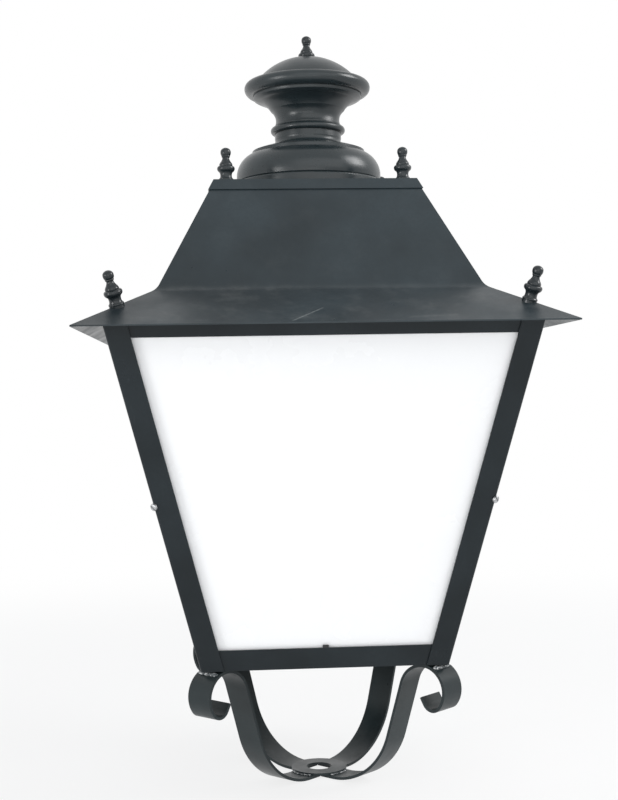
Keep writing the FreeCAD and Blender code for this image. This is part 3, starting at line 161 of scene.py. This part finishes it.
class Finish(Graph):
    """A material whose patterns lie in the object's own coordinates."""

    def __init__(self, name):
        super().__init__(bpy.data.materials.new(name))
        self.shader = self.tree.nodes["Principled BSDF"]
        self.place = self.add("ShaderNodeTexCoord").outputs["Object"]

    def noise(self, scale, detail=3.0, rough=0.5, stretch=None):
        """Soft noise, stretched where stretch gives a scale for each axis."""
        place = self.place
        if stretch:
            mapping = self.put(self.add("ShaderNodeMapping"), Vector=place, Scale=stretch)
            place = mapping.outputs["Vector"]
        node = self.add("ShaderNodeTexNoise")
        self.put(node, Vector=place, Scale=scale, Detail=detail, Roughness=rough)
        return node.outputs["Fac"]

    def cells(self, scale):
        """Distance to the nearest of scattered points."""
        node = self.add("ShaderNodeTexVoronoi", feature="F1")
        return self.put(node, Vector=self.place, Scale=scale).outputs["Distance"]

    def spread(self, value, low, high, to_low=0.0, to_high=1.0):
        """Soft step: low and high in value become to_low and to_high."""
        node = self.add("ShaderNodeMapRange", interpolation_type="SMOOTHSTEP")
        self.put(node, Value=value, From_Min=low, From_Max=high, To_Min=to_low, To_Max=to_high)
        return node.outputs["Result"]

    def blend(self, share, a, b):
        """Mix of two colours, each a plain colour or an output."""
        node = self.add("ShaderNodeMix", data_type="RGBA")
        for index, value in ((0, share), (6, a), (7, b)):    # its factor and two colours
            self.feed(node.inputs[index], value)
        return node.outputs[2]

    def upward(self):
        """How much a surface faces up, 0 to 1."""
        normal = self.add("ShaderNodeNewGeometry").outputs["Normal"]
        return self.spread(self.axes(normal)["Z"], 0.25, 0.95)

    def line_mark(self, start, end, wide):
        """Share of a straight mark between two points in plan, 1 on its line."""
        run = Vector(end) - Vector(start)
        along = run.normalized()
        place = self.axes(self.place)
        x = self.math("SUBTRACT", place["X"], start[0])
        y = self.math("SUBTRACT", place["Y"], start[1])
        reach = self.math("ADD", self.times(x, along.x), self.times(y, along.y))
        off = self.math("SUBTRACT", self.times(y, along.x), self.times(x, along.y))
        near = self.spread(self.math("ABSOLUTE", off), 0.25 * wide, wide, 1.0, 0.0)
        begun = self.spread(reach, 0.0, 0.2 * run.length)
        left = self.spread(reach, 0.9 * run.length, run.length, 1.0, 0.0)
        return self.times(near, self.times(begun, left))

    def bump(self, *layers):
        """Bump layers of (height, strength, depth in metres)."""
        last = None
        for height, strength, depth in layers:
            node = self.add("ShaderNodeBump")
            self.put(node, Height=height, Strength=strength, Distance=depth)
            if last is not None:
                self.put(node, Normal=last)
            last = node.outputs["Normal"]
        self.put(self.shader, Normal=last)

    def surface(self, **values):
        """Feeds the shader and gives the finished material."""
        self.put(self.shader, **values)
        return self.owner


# -------------------------------------------------------------------- materials
DUST, DUST_SHARE = (0.33, 0.34, 0.33), 0.24
SCUFF, SCUFF_SHARE = (0.28, 0.29, 0.3), 0.22
BARE = (0.42, 0.44, 0.43)


def paint(name, tone=(0.018, 0.027, 0.032), rough=0.34, rings=False, worn=0.35, ior=1.4,
          marks=()):
    """Semi-gloss blue-grey paint on metal: uneven tone, a little dust and fine scuffs.
    rings adds the fine rings of spun sheet, worn is the share of dust and scuffs, and marks
    are scratches of (start, end, width, share of bare metal) in plan."""
    g = Finish(name)
    lighter = tuple(c * 1.4 + 0.003 for c in tone)
    darker = tuple(c * 0.75 for c in tone)
    cloud = g.spread(g.noise(9.0, 4.0), 0.3, 0.72)
    speckle = g.spread(g.noise(260.0, 3.0, 0.6), 0.35, 0.7)
    base = g.blend(cloud, darker, lighter)
    base = g.blend(g.times(speckle, 0.35), base, tone)
    dust_spots = g.spread(g.noise(42.0, 6.0, 0.62), 0.46, 0.78)
    dust = g.times(g.upward(), g.times(dust_spots, DUST_SHARE * worn))
    base = g.blend(dust, base, DUST)
    streaks = g.noise(60.0, 4.0, 0.7, stretch=(1.0, 1.0, 0.12))
    scuff = g.times(g.spread(streaks, 0.66, 0.74), g.spread(g.noise(14.0, 2.0), 0.5, 0.7))
    base = g.blend(g.times(scuff, SCUFF_SHARE * worn), base, SCUFF)
    for start, end, wide, bare in marks:
        mark = g.times(g.line_mark(start, end, wide), g.upward())
        mark = g.times(mark, g.spread(g.noise(300.0, 3.0), 0.3, 0.6, 0.3, 1.0))
        base = g.blend(g.times(mark, bare), base, BARE)
    gloss = g.spread(g.noise(24.0, 5.0, 0.6), 0.25, 0.75, rough - 0.07, rough + 0.1)
    layers = [(g.noise(55.0, 2.0), 0.12, 0.0007), (g.noise(900.0, 2.0), 0.10, 0.0001)]
    if rings:
        wave = g.add("ShaderNodeTexWave", wave_type="BANDS", bands_direction="Z")
        g.put(wave, Vector=g.place, Scale=70.0, Distortion=0.6, Detail=1.0)
        layers.append((wave.outputs["Fac"], 0.10, 0.00012))
    g.bump(*layers)
    return g.surface(Base_Color=base, Roughness=gloss, Metallic=0.0, IOR=ior)


def opal(name):
    """Opal sheet: bright, even, faintly clouded, with a soft gloss."""
    g = Finish(name)
    tone = g.blend(g.noise(2.0, 0.0), (0.950, 0.951, 0.949), (0.968, 0.969, 0.969))
    grain = g.spread(g.noise(420.0, 3.0, 0.6), 0.35, 0.8, 0.0, 0.05)
    tone = g.blend(grain, tone, (0.84, 0.84, 0.83))
    g.bump((g.noise(500.0, 2.0), 0.03, 0.0001))
    gloss = g.spread(g.noise(18.0, 4.0), 0.3, 0.7, 0.2, 0.3)
    return g.surface(Base_Color=tone, Roughness=gloss, IOR=1.49)


def plated(name, tone=(0.60, 0.61, 0.625), rough=0.3, lift=0.0):
    """Bright metal with a fine crystal pattern and dull patches, which lift makes paler."""
    g = Finish(name)
    dull = tuple(c * 0.62 + lift for c in tone)
    patch = g.spread(g.noise(120.0, 5.0, 0.6), 0.38, 0.68)
    base = g.blend(patch, tone, dull)
    crystals = g.spread(g.cells(420.0), 0.1, 0.75)
    base = g.blend(g.times(crystals, 0.25), base, dull)
    gloss = g.spread(g.noise(300.0, 4.0), 0.3, 0.7, rough - 0.06, rough + 0.14)
    g.bump((g.noise(700.0, 3.0), 0.12, 0.0001), (g.cells(420.0), 0.05, 0.00008))
    return g.surface(Base_Color=base, Roughness=gloss, Metallic=1.0)


def weld_metal(name):
    """Weld under thin paint, with bright grey spots painted into its colour as glints: painted
    highlights on the bead.
    """
    g = Finish(name)
    # painted highlight: scattered bright grey glint spots, glossier and half metal, over the
    # dark paint of the bead
    painted_glint = g.spread(g.noise(380.0, 4.0, 0.6), 0.46, 0.62)
    base = g.blend(painted_glint, (0.06, 0.07, 0.075), (0.62, 0.63, 0.63))
    g.bump((g.noise(500.0, 4.0, 0.6), 0.45, 0.0005))
    return g.surface(Base_Color=base, Roughness=g.spread(painted_glint, 0.0, 1.0, 0.42, 0.24),
                     Metallic=g.times(painted_glint, 0.5))


def moulded(name, tone, rough):
    """Moulded plastic or rubber: slight bloom, fine grain, uneven gloss."""
    g = Finish(name)
    bloom = tuple(min(1.0, c * 1.25 + 0.015) for c in tone)
    base = g.blend(g.spread(g.noise(60.0, 4.0), 0.35, 0.75), tone, bloom)
    g.bump((g.noise(600.0, 3.0), 0.25, 0.00012))
    gloss = g.spread(g.noise(90.0, 4.0), 0.3, 0.7, rough - 0.06, rough + 0.12)
    return g.surface(Base_Color=base, Roughness=gloss)


def glazed(name):
    """White glazed porcelain with pin marks and a wavy glaze."""
    g = Finish(name)
    pins = g.spread(g.cells(260.0), 0.0, 0.09, 0.35, 0.0)
    base = g.blend(pins, (0.86, 0.855, 0.83), (0.45, 0.42, 0.38))
    g.bump((g.noise(70.0, 2.0), 0.15, 0.0005))
    return g.surface(Base_Color=base, Roughness=0.12, Coat_Weight=0.5)


# The marks on the front eave: one clear scratch and three broad faint ones.
SCRATCHES = (((-0.036, -0.2355), (-0.0015, -0.205), 0.0011, 0.30),
             ((-0.037, -0.2300), (-0.018, -0.2230), 0.0045, 0.06),
             ((-0.110, -0.1880), (-0.060, -0.1800), 0.0060, 0.05),
             ((0.070, -0.2290), (0.125, -0.2240), 0.0030, 0.06))
PAINT = paint("paint_sheet", marks=SCRATCHES)
PAINT_SPUN = paint("paint_spun", tone=(0.012, 0.019, 0.022), rough=0.28, rings=True, worn=0.12,
                   ior=1.5)
PAINT_CAST = paint("paint_cast", tone=(0.012, 0.018, 0.021), rough=0.2, worn=0.1, ior=1.45)
# painted shade: the bar and frame paints are darker copies of the sheet paint, lower in tone and
# IOR, which paint shade onto the straps, ring, posts and rails
PAINT_BAR_SHADED = paint("paint_bar_shaded", tone=(0.012, 0.019, 0.021), rough=0.33, worn=0.25, ior=1.36)
PAINT_FRAME_SHADED = paint("paint_frame_shaded", tone=(0.009, 0.014, 0.017), rough=0.33, worn=0.15, ior=1.34)
OPAL = opal("opal_sheet")
ZINC = plated("zinc_plate")
STEEL = plated("bright_steel", tone=(0.55, 0.55, 0.56), rough=0.26)
BRASS = plated("turned_brass", tone=(0.62, 0.47, 0.22), rough=0.24, lift=0.03)
ALUMINIUM = plated("lamp_cap_metal", tone=(0.72, 0.72, 0.71), rough=0.32)
RUBBER = moulded("black_rubber", (0.018, 0.018, 0.019), rough=0.62)
NYLON = moulded("black_nylon", (0.028, 0.028, 0.030), rough=0.42)
WHITE_NYLON = moulded("white_nylon", (0.78, 0.78, 0.75), rough=0.4)
PORCELAIN = glazed("white_porcelain")
LAMP_GLASS = opal("frosted_lamp")
WELD = weld_metal("weld_bead")

# How the names of the nodes that wear each material begin. A later line wins.
WORN_BY = (
    (PAINT, ("roof", "catch_", "hinge_")),
    (PAINT_SPUN, ("chimney_base", "chimney_collar", "chimney_bowl", "chimney_cap")),
    (PAINT_CAST, ("chimney_finial", "tray_finial", "eave_finial")),
    (PAINT_BAR_SHADED, ("strap", "mounting_ring")),
    (PAINT_FRAME_SHADED, ("post", "bottom_rail", "top_rail", "floor_plate")),
    (OPAL, ("pane_front", "pane_back", "pane_left", "pane_right")),
    (ZINC, ("corner_screws", "pane_clips", "lamp_bridge")),
    (STEEL, ("chimney_tie_bolt", "hinge_pin")),
    (BRASS, ("thumb_screw",)),
    (RUBBER, ("pane_wedges",)),
    (NYLON, ("cable_gland", "gland_locknut")),
    (PORCELAIN, ("lampholder",)),
    (ALUMINIUM, ("lamp_cap",)),
    (LAMP_GLASS, ("lamp_globe",)),
    (WHITE_NYLON, ("terminal_block",)),
)


def dress_nodes():
    """Gives every CAD node its material."""
    for finish, beginnings in WORN_BY:
        for name, node in nodes.items():
            if name.startswith(beginnings):
                node.data.materials.clear()
                node.data.materials.append(finish)


dress_nodes()


# -------------------------------------------------------------------- mesh tools
def mesh_piece(name, bm, material, body):
    """Smooth-shaded piece of a finished bmesh, on its body and in its slot."""
    mesh = bpy.data.meshes.new(name)
    bmesh.ops.recalc_face_normals(bm, faces=bm.faces)
    bm.to_mesh(mesh)
    bm.free()
    for face in mesh.polygons:
        face.use_smooth = True
    mesh.materials.append(material)
    piece = bpy.data.objects.new(name, mesh)
    scene.collection.objects.link(piece)
    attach(piece, body)
    return piece


def heading(angle):
    """Level unit vector at an angle from +X."""
    return Vector((math.cos(angle), math.sin(angle), 0))


def in_metres(points):
    """Outline of (height, radius) points in millimetres, in metres."""
    return [(height * MM, radius * MM) for height, radius in points]


def circle(bm, place, radius, height, steps):
    """Ring of points round the axis of place, or one point where the radius is 0."""
    if radius == 0:
        return [bm.verts.new(place @ Vector((0, 0, height)))]
    ring = []
    for k in range(steps):
        angle = 2 * math.pi * k / steps
        spot = Vector((radius * math.cos(angle), radius * math.sin(angle), height))
        ring.append(bm.verts.new(place @ spot))
    return ring


def bridge(bm, low, high):
    """Faces between two rings, of which one may be a single point."""
    steps = max(len(low), len(high))
    for k in range(steps):
        n = (k + 1) % steps
        below = (low[k], low[n]) if len(low) > 1 else (low[0],)
        above = (high[n], high[k]) if len(high) > 1 else (high[0],)
        bm.faces.new(below + above)


def turn_outline(bm, outline, place, steps=48):
    """Closed piece turned from (height, radius) points, bottom to top, put in place by a matrix.
    A point with a third value makes a sharp ring."""
    rings = [circle(bm, place, radius, height, steps) for height, radius, *_ in outline]
    for low, high in zip(rings, rings[1:]):
        bridge(bm, low, high)
    for ring, point in zip(rings, outline):
        if len(point) == 3:
            for k in range(steps):
                bm.edges.get((ring[k - 1], ring[k])).smooth = False
    return rings


# ------------------------------------------------------------------------- welds
BEAD_AROUND = 12
BEAD_WIDE, BEAD_TALL = 1.15, 0.8        # of the bead's radius
RIPPLE = 0.22                           # of the bead's radius, between two ripples
WANDER = 0.08                           # of the bead's radius, uneven along it
# Reach from the lantern's axis, drop below the strap's top, and radius.
FRAME_WELDS = ((0.1665, 3.0 * MM, 2.9 * MM), (0.1475, 1.1 * MM, 2.0 * MM))
FRAME_WELD_HALF = 0.0135
RING_WELD_HALF = 25                     # degrees round the ring
RING_WELD_OFF = 0.4 * MM                # off the ring's edge and its underside
RING_WELD_RADIUS, RING_WELD_PITCH = 1.5 * MM, 1.7 * MM
WELD_POINTS = 60
WELD_SHARES = [i / (WELD_POINTS - 1) for i in range(WELD_POINTS)]


def add_bead(bm, points, side, radius, pitch=2.1 * MM):
    """Weld bead: a rippled tube along points, with rounded ends. side is a level unit vector
    across it."""
    sections = []
    lengths = [0.0]
    for a, b in zip(points, points[1:]):
        lengths.append(lengths[-1] + (b - a).length)
    total = lengths[-1]
    for point, run in zip(points, lengths):
        ends = min(1.0, math.sqrt(max(0.0, min(run, total - run)) / (1.6 * radius)) + 0.12)
        wave = 1.0 - RIPPLE * (0.5 + 0.5 * math.cos(2 * math.pi * run / pitch))
        wander = 1.0 + WANDER * math.sin(run * 900.0 + point.x * 1700.0)
        size = radius * ends * wave * wander
        ring = []
        for k in range(BEAD_AROUND):
            angle = 2 * math.pi * k / BEAD_AROUND
            ring.append(bm.verts.new(point + side * math.cos(angle) * size * BEAD_WIDE
                                     + UP * math.sin(angle) * size * BEAD_TALL))
        sections.append(ring)
    for low, high in zip(sections, sections[1:]):
        bridge(bm, low, high)
    bm.faces.new(list(reversed(sections[0])))
    bm.faces.new(sections[-1])


def make_welds():
    """Beads where the straps meet the frame's corners and where the ring sits on them."""
    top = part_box("strap_front_left")[1].z
    ring_low, ring_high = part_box("mounting_ring")
    for k in range(4):
        angle = math.radians(45 + 90 * k)
        out = heading(angle)
        across = Vector((-out.y, out.x, 0)) * FRAME_WELD_HALF
        bm = bmesh.new()
        for reach, drop, radius in FRAME_WELDS:
            middle = out * reach + UP * (top - drop)
            points = [(middle - across).lerp(middle + across, share) for share in WELD_SHARES]
            add_bead(bm, points, out, radius)
        mesh_piece(f"frame_weld_{k + 1}", bm, WELD, "frame")
        bm = bmesh.new()
        points = []
        for share in WELD_SHARES:
            turn = angle + math.radians(RING_WELD_HALF * (2 * share - 1))
            points.append(heading(turn) * (ring_high.x + RING_WELD_OFF)
                          + UP * (ring_low.z + RING_WELD_OFF))
        add_bead(bm, points, out, RING_WELD_RADIUS, RING_WELD_PITCH)
        mesh_piece(f"ring_weld_{k + 1}", bm, WELD, "frame")


make_welds()

# ----------------------------------------------------------------------- finials
# Runs of (height, radius) between two sharp rings, millimetres above the seat.
FINIAL_FOOT = (((0.3, 7.3), (1.7, 7.5), (3.0, 6.6)),
               ((3.0, 6.35), (5.0, 5.9), (7.6, 6.1), (9.3, 7.0)))
FINIAL_TOP = (((9.3, 7.2), (10.6, 8.5), (12.6, 9.0), (14.4, 8.5), (15.3, 7.1)),
              ((15.3, 6.6), (16.6, 6.75), (18.4, 6.0), (20.2, 4.75), (22.2, 3.75), (23.8, 3.5)),
              ((23.8, 3.7), (24.8, 4.3), (25.8, 4.2)),
              ((25.8, 4.4), (27.4, 5.1), (29.4, 5.3), (31.4, 4.9), (33.0, 3.5), (33.9, 1.7)))
RUN_STEPS = 5               # between two points of a run
FINIAL_TALL = 34.2 * MM
SOLE_SINK = 0.15 * MM       # into what the foot stands on
SOLE_RADIUS = 7.3 * MM
BEAD_FOOT, BEAD_FOOT_RADIUS = 10.4 * MM, 8.2 * MM       # where the chimney's finial begins
# The stud's riveted end under the sheet and its shank, (height, radius) in millimetres.
STUD = ((-6.0, 0.0), (-5.9, 1.4), (-5.3, 2.5), (-4.6, 2.9), (-4.4, 2.9), (-4.4, 1.9),
        (-0.4, 1.9), (-0.4, 0.0))
EAVE_FINIAL_HALF, EAVE_FINIAL_Z = 0.1959, 0.493703      # seat on the eaves' hips


def smooth_run(points):
    """Smooth line in metres through (height, radius) points in millimetres, with its first
    and last points marked sharp."""
    line = []
    ends = (points[0], *points, points[-1])
    for corners in zip(ends, ends[1:], ends[2:], ends[3:]):
        for k in range(RUN_STEPS):
            t = k / RUN_STEPS
            line.append(tuple(
                0.5 * (2 * b + (c - a) * t + (2 * a - 5 * b + 4 * c - d) * t * t
                       + (3 * b - a - 3 * c + d) * t ** 3) * MM
                for a, b, c, d in zip(*corners)))
    line[0] = (*line[0], "sharp")
    line.append((points[-1][0] * MM, points[-1][1] * MM, "sharp"))
    return line


def full_outline(runs):
    """Outline through all the runs, up to the finial's tip."""
    return [point for run in runs for point in smooth_run(run)] + [(FINIAL_TALL, 0.0)]


def astride_hip(rings, place, fall):
    """Puts the lowest ring of a foot on the two slopes that meet under it in a ridge."""
    back = place.inverted()
    for vert in rings[0] + rings[1]:
        spot = back @ vert.co
        spot.z = -abs(spot.y) * fall - SOLE_SINK
        vert.co = place @ spot


def make_finial(node, place, fall=0.0):
    """Turned finial with its riveted stud, over the plain one of the frame."""
    bm = bmesh.new()
    sole = [(-SOLE_SINK, 0.0), (-SOLE_SINK, SOLE_RADIUS, "sharp")]
    rings = turn_outline(bm, sole + full_outline(FINIAL_FOOT + FINIAL_TOP), place)
    if fall:
        astride_hip(rings, place, fall)
    turn_outline(bm, in_metres(STUD), place, steps=24)
    piece = mesh_piece(node + "_turned", bm, PAINT_CAST, "roof")
    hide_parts(node)


def make_chimney_finial():
    """The finial on the chimney, from its bead upwards."""
    bm = bmesh.new()
    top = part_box("chimney_finial")[1].z
    outline = [(BEAD_FOOT, 0.0), (BEAD_FOOT, BEAD_FOOT_RADIUS, "sharp")]
    outline += [point for point in full_outline(FINIAL_TOP) if point[0] > BEAD_FOOT + 0.1 * MM]
    turn_outline(bm, outline, Matrix.Translation((0, 0, top - FINIAL_TALL)))
    piece = mesh_piece("chimney_finial_turned", bm, PAINT_CAST, "roof")
    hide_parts("chimney_finial")


def make_finials():
    """Upright finials on the tray's corners, and leaning ones square to the eaves' hips."""
    hip = math.atan(math.tan(EAVE_PITCH) / math.sqrt(2))
    slope_to_hip = math.acos(math.sin(EAVE_PITCH) * math.sin(hip) / math.sqrt(2)
                             + math.cos(EAVE_PITCH) * math.cos(hip))
    for k, corner in enumerate(CORNERS):
        low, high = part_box(f"tray_finial_{corner}")
        middle = (low + high) / 2
        make_finial(f"tray_finial_{corner}",
                    Matrix.Translation((middle.x, middle.y, high.z - FINIAL_TALL)))
        turn = math.radians(225 + 90 * k)
        seat = heading(turn) * (EAVE_FINIAL_HALF * math.sqrt(2))
        seat.z = EAVE_FINIAL_Z
        tilt = Matrix.Rotation(turn, 4, "Z") @ Matrix.Rotation(hip, 4, "Y")
        make_finial(f"eave_finial_{corner}", Matrix.Translation(seat) @ tilt,
                    fall=math.tan(slope_to_hip))


make_finials()
make_chimney_finial()

# ------------------------------- rivets, knurls and small screws, sizes in millimetres
DOME_STEPS = 5
LEAF_FACE = 2.6             # from the hinge pin's axis to a leaf's face
HINGE_RIVETS = ((-18, 12), (0, 9), (18, 12))    # along the pin and down the leaf
# Radius and height of the heads, metres.
HINGE_HEAD = (2.2 * MM, 1.0 * MM)
CATCH_HEAD = (2.0 * MM, 0.9 * MM)
TERMINAL_HEAD = (1.7 * MM, 0.7 * MM)
CATCH_RIVET_REACH = 218.0   # from the lantern's axis
CATCH_RIVET_SHIFTS = (-5, 5)
KNURL_COUNT = 28
KNURL_RADIUS = 6.9          # of the circle that the ribs stand on
KNURL_BACK = 6.0            # from the head's face to the far end of a rib
KNURL_GAP = 0.25            # radians left free of ribs, each way from the back (+Y)
KNURL_RIB = ((0.0, 0.0), (0.0, 0.45), (0.4, 0.6), (4.6, 0.6), (5.0, 0.45), (5.0, 0.0))
TERMINAL_PITCH, TERMINAL_ROW = 9, 2.6           # along and across the block


def add_rivet(bm, seat, out, radius, tall):
    """Low domed head on a surface that faces the way of out. Sizes in metres."""
    turn = UP.rotation_difference(out).to_matrix().to_4x4()
    dome = [(-0.1 * MM, 0.0), (-0.1 * MM, radius, "sharp")]
    for k in range(1, DOME_STEPS):
        angle = math.pi / 2 * k / DOME_STEPS
        dome.append((tall * math.sin(angle) ** 0.8, radius * math.cos(angle)))
    dome.append((tall, 0.0))
    turn_outline(bm, dome, Matrix.Translation(seat) @ turn, steps=20)


def make_hinge_rivets():
    """Three rivets in each leaf of the two hinges."""
    leaves = (
        ("frame", Vector((0, math.cos(FRAME_LEAN), -math.sin(FRAME_LEAN))),
         Vector((0, -math.sin(FRAME_LEAN), -math.cos(FRAME_LEAN)))),
        ("roof", Vector((0, -math.sin(EAVE_PITCH), -math.cos(EAVE_PITCH))),
         Vector((0, math.cos(EAVE_PITCH), -math.sin(EAVE_PITCH)))))
    for hand, _ in HANDS:
        low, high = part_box(f"hinge_pin_{hand}")
        pin = (low + high) / 2
        for body, out, down in leaves:
            bm = bmesh.new()
            for shift, reach in HINGE_RIVETS:
                seat = (pin + down * reach * MM - out * LEAF_FACE * MM
                        + Vector((shift * MM, 0, 0)))
                add_rivet(bm, seat, out, *HINGE_HEAD)
            mesh_piece(f"hinge_rivets_{body}_{hand}", bm, PAINT, body)


def make_catch_rivets():
    """Two rivets through the flange of each side catch, under the eave."""
    level = (EAVE_EDGE_Z + (EAVE_HALF - CATCH_RIVET_REACH) * math.tan(EAVE_PITCH)
             - CATCH_THICK / math.cos(EAVE_PITCH))
    for hand, sign in HANDS:
        out = -Vector((sign * math.sin(EAVE_PITCH), 0, math.cos(EAVE_PITCH)))
        bm = bmesh.new()
        for shift in CATCH_RIVET_SHIFTS:
            seat = Vector((sign * CATCH_RIVET_REACH, shift, level)) * MM
            add_rivet(bm, seat, out, *CATCH_HEAD)
        mesh_piece(f"catch_rivets_{hand}", bm, PAINT, "roof")


def make_knurls():
    """Fine ribs round the heads of the thumb screws."""
    for hand, sign in HANDS:
        low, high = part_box(f"thumb_screw_{hand}")
        middle = (low + high) / 2
        outer = high.x if sign > 0 else low.x
        turn = Matrix.Rotation(math.radians(90 * sign), 4, "Y")
        bm = bmesh.new()
        for k in range(KNURL_COUNT):
            angle = 2 * math.pi * (k + 0.5) / KNURL_COUNT
            if abs(angle - math.pi / 2) < KNURL_GAP:
                continue
            spot = Vector((outer - sign * KNURL_BACK * MM,
                           middle.y + KNURL_RADIUS * MM * math.sin(angle),
                           middle.z + KNURL_RADIUS * MM * math.cos(angle)))
            turn_outline(bm, in_metres(KNURL_RIB), Matrix.Translation(spot) @ turn, steps=8)
        mesh_piece(f"thumb_knurl_{hand}", bm, BRASS, f"thumb_screw_{hand}")


def make_terminal_screws():
    """Six brass screws in the terminal block."""
    low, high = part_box("terminal_block")
    middle = (low + high) / 2
    bm = bmesh.new()
    for row in (-1, 1):
        for column in (-1, 0, 1):
            seat = Vector((middle.x + column * TERMINAL_PITCH * MM,
                           middle.y + row * TERMINAL_ROW * MM, high.z))
            add_rivet(bm, seat, UP, *TERMINAL_HEAD)
    mesh_piece("terminal_screws", bm, BRASS, "frame")


make_hinge_rivets()
make_catch_rivets()
make_knurls()
make_terminal_screws()

# --------------------------------------------------------------- stage and light
FLOOR_DROP = 0.2 * MM       # under the lantern's lowest point
FLOOR_RINGS = (0.0, 0.3, 0.8, 1.6, 3.0, 6.0, 12.0, 30.0)
FLOOR_GREY = 0.86
FLOOR_WHITE = 0.80          # share of plain white seen near the lantern
FLOOR_FADE = (0.5, 2.0)     # from here to there the floor turns all white
SKY, SKY_STRENGTH = (0.93, 0.96, 1.0), 0.62
WHITE = (1.0, 1.0, 1.0)
# Name, place, point aimed at, size and watts. The broad front lamp is the main one.
LAMPS = (("right_high", (2.27, -0.32, 1.9), (0, 0, 0.6), (1.1, 1.2), 36.0),
         ("left_low", (-2.15, -1.45, 0.45), (0, 0, 0.6), (0.8, 0.8), 16.0),
         ("front_low", (-0.4, -2.5, 0.12), (0, 0, 0.55), (2.8, 0.5), 8.0),
         ("front", (0.8, -3.5, 1.9), (0, 0, 0.4), (6.0, 2.6), 36.0))


def stage_material(name):
    """Pale floor that turns into the white backdrop far from the lantern."""
    g = Finish(name)
    g.tree.nodes.remove(g.shader)
    length = g.put(g.add("ShaderNodeVectorMath", operation="LENGTH"), Vector=g.place)
    distance = g.spread(length.outputs["Value"], *FLOOR_FADE)
    cloud = g.spread(g.noise(3.0), 0.3, 0.7, FLOOR_GREY - 0.01, FLOOR_GREY + 0.01)
    grey = g.fed(g.add("ShaderNodeCombineColor"), cloud, cloud, cloud)
    diffuse = g.put(g.add("ShaderNodeBsdfDiffuse"), Color=grey)
    glow = g.put(g.add("ShaderNodeEmission"), Color=WHITE)
    share = g.times(g.shows_backdrop(), g.spread(distance, 0.0, 1.0, FLOOR_WHITE, 1.0))
    mix = g.mix_shaders(share, diffuse.outputs[0], glow.outputs[0])
    g.put(g.tree.nodes["Material Output"], Surface=mix)
    return g.owner


def make_floor():
    """Round pale floor under the lantern."""
    bm = bmesh.new()
    place = Matrix.Translation((0, 0, cad_box[0].z - FLOOR_DROP))
    rings = [circle(bm, place, radius, 0.0, steps=64) for radius in FLOOR_RINGS]
    for inner, outer in zip(rings, rings[1:]):
        bridge(bm, outer, inner)
    mesh = bpy.data.meshes.new("floor")
    bm.to_mesh(mesh)
    bm.free()
    mesh.materials.append(stage_material("floor_pale"))
    floor = bpy.data.objects.new("floor", mesh)
    scene.collection.objects.link(floor)


def make_world():
    """Even soft light, with a plain white backdrop for the eye and for reflections."""
    world = bpy.data.worlds.new("studio")
    scene.world = world
    g = Graph(world)
    g.tree.nodes.clear()
    output = g.add("ShaderNodeOutputWorld")
    soft = g.put(g.add("ShaderNodeBackground"), Color=SKY, Strength=SKY_STRENGTH)
    white = g.put(g.add("ShaderNodeBackground"), Color=WHITE, Strength=1.0)
    mix = g.mix_shaders(g.shows_backdrop(), soft.outputs[0], white.outputs[0])
    g.put(output, Surface=mix)


def area_light(name, place, target, size, power):
    """Oblong lamp that lights the lantern and stays out of the camera's sight."""
    data = bpy.data.lights.new(name, "AREA")
    data.shape = "RECTANGLE"
    data.size, data.size_y = size
    data.energy = power
    lamp = bpy.data.objects.new(name, data)
    lamp.location = place
    lamp.visible_camera = False
    lamp.rotation_euler = (Vector(target) - Vector(place)).to_track_quat("-Z", "Y").to_euler()
    scene.collection.objects.link(lamp)


make_floor()
make_world()
for lamp in LAMPS:
    area_light(*lamp)
scene.view_settings.view_transform = "Standard"
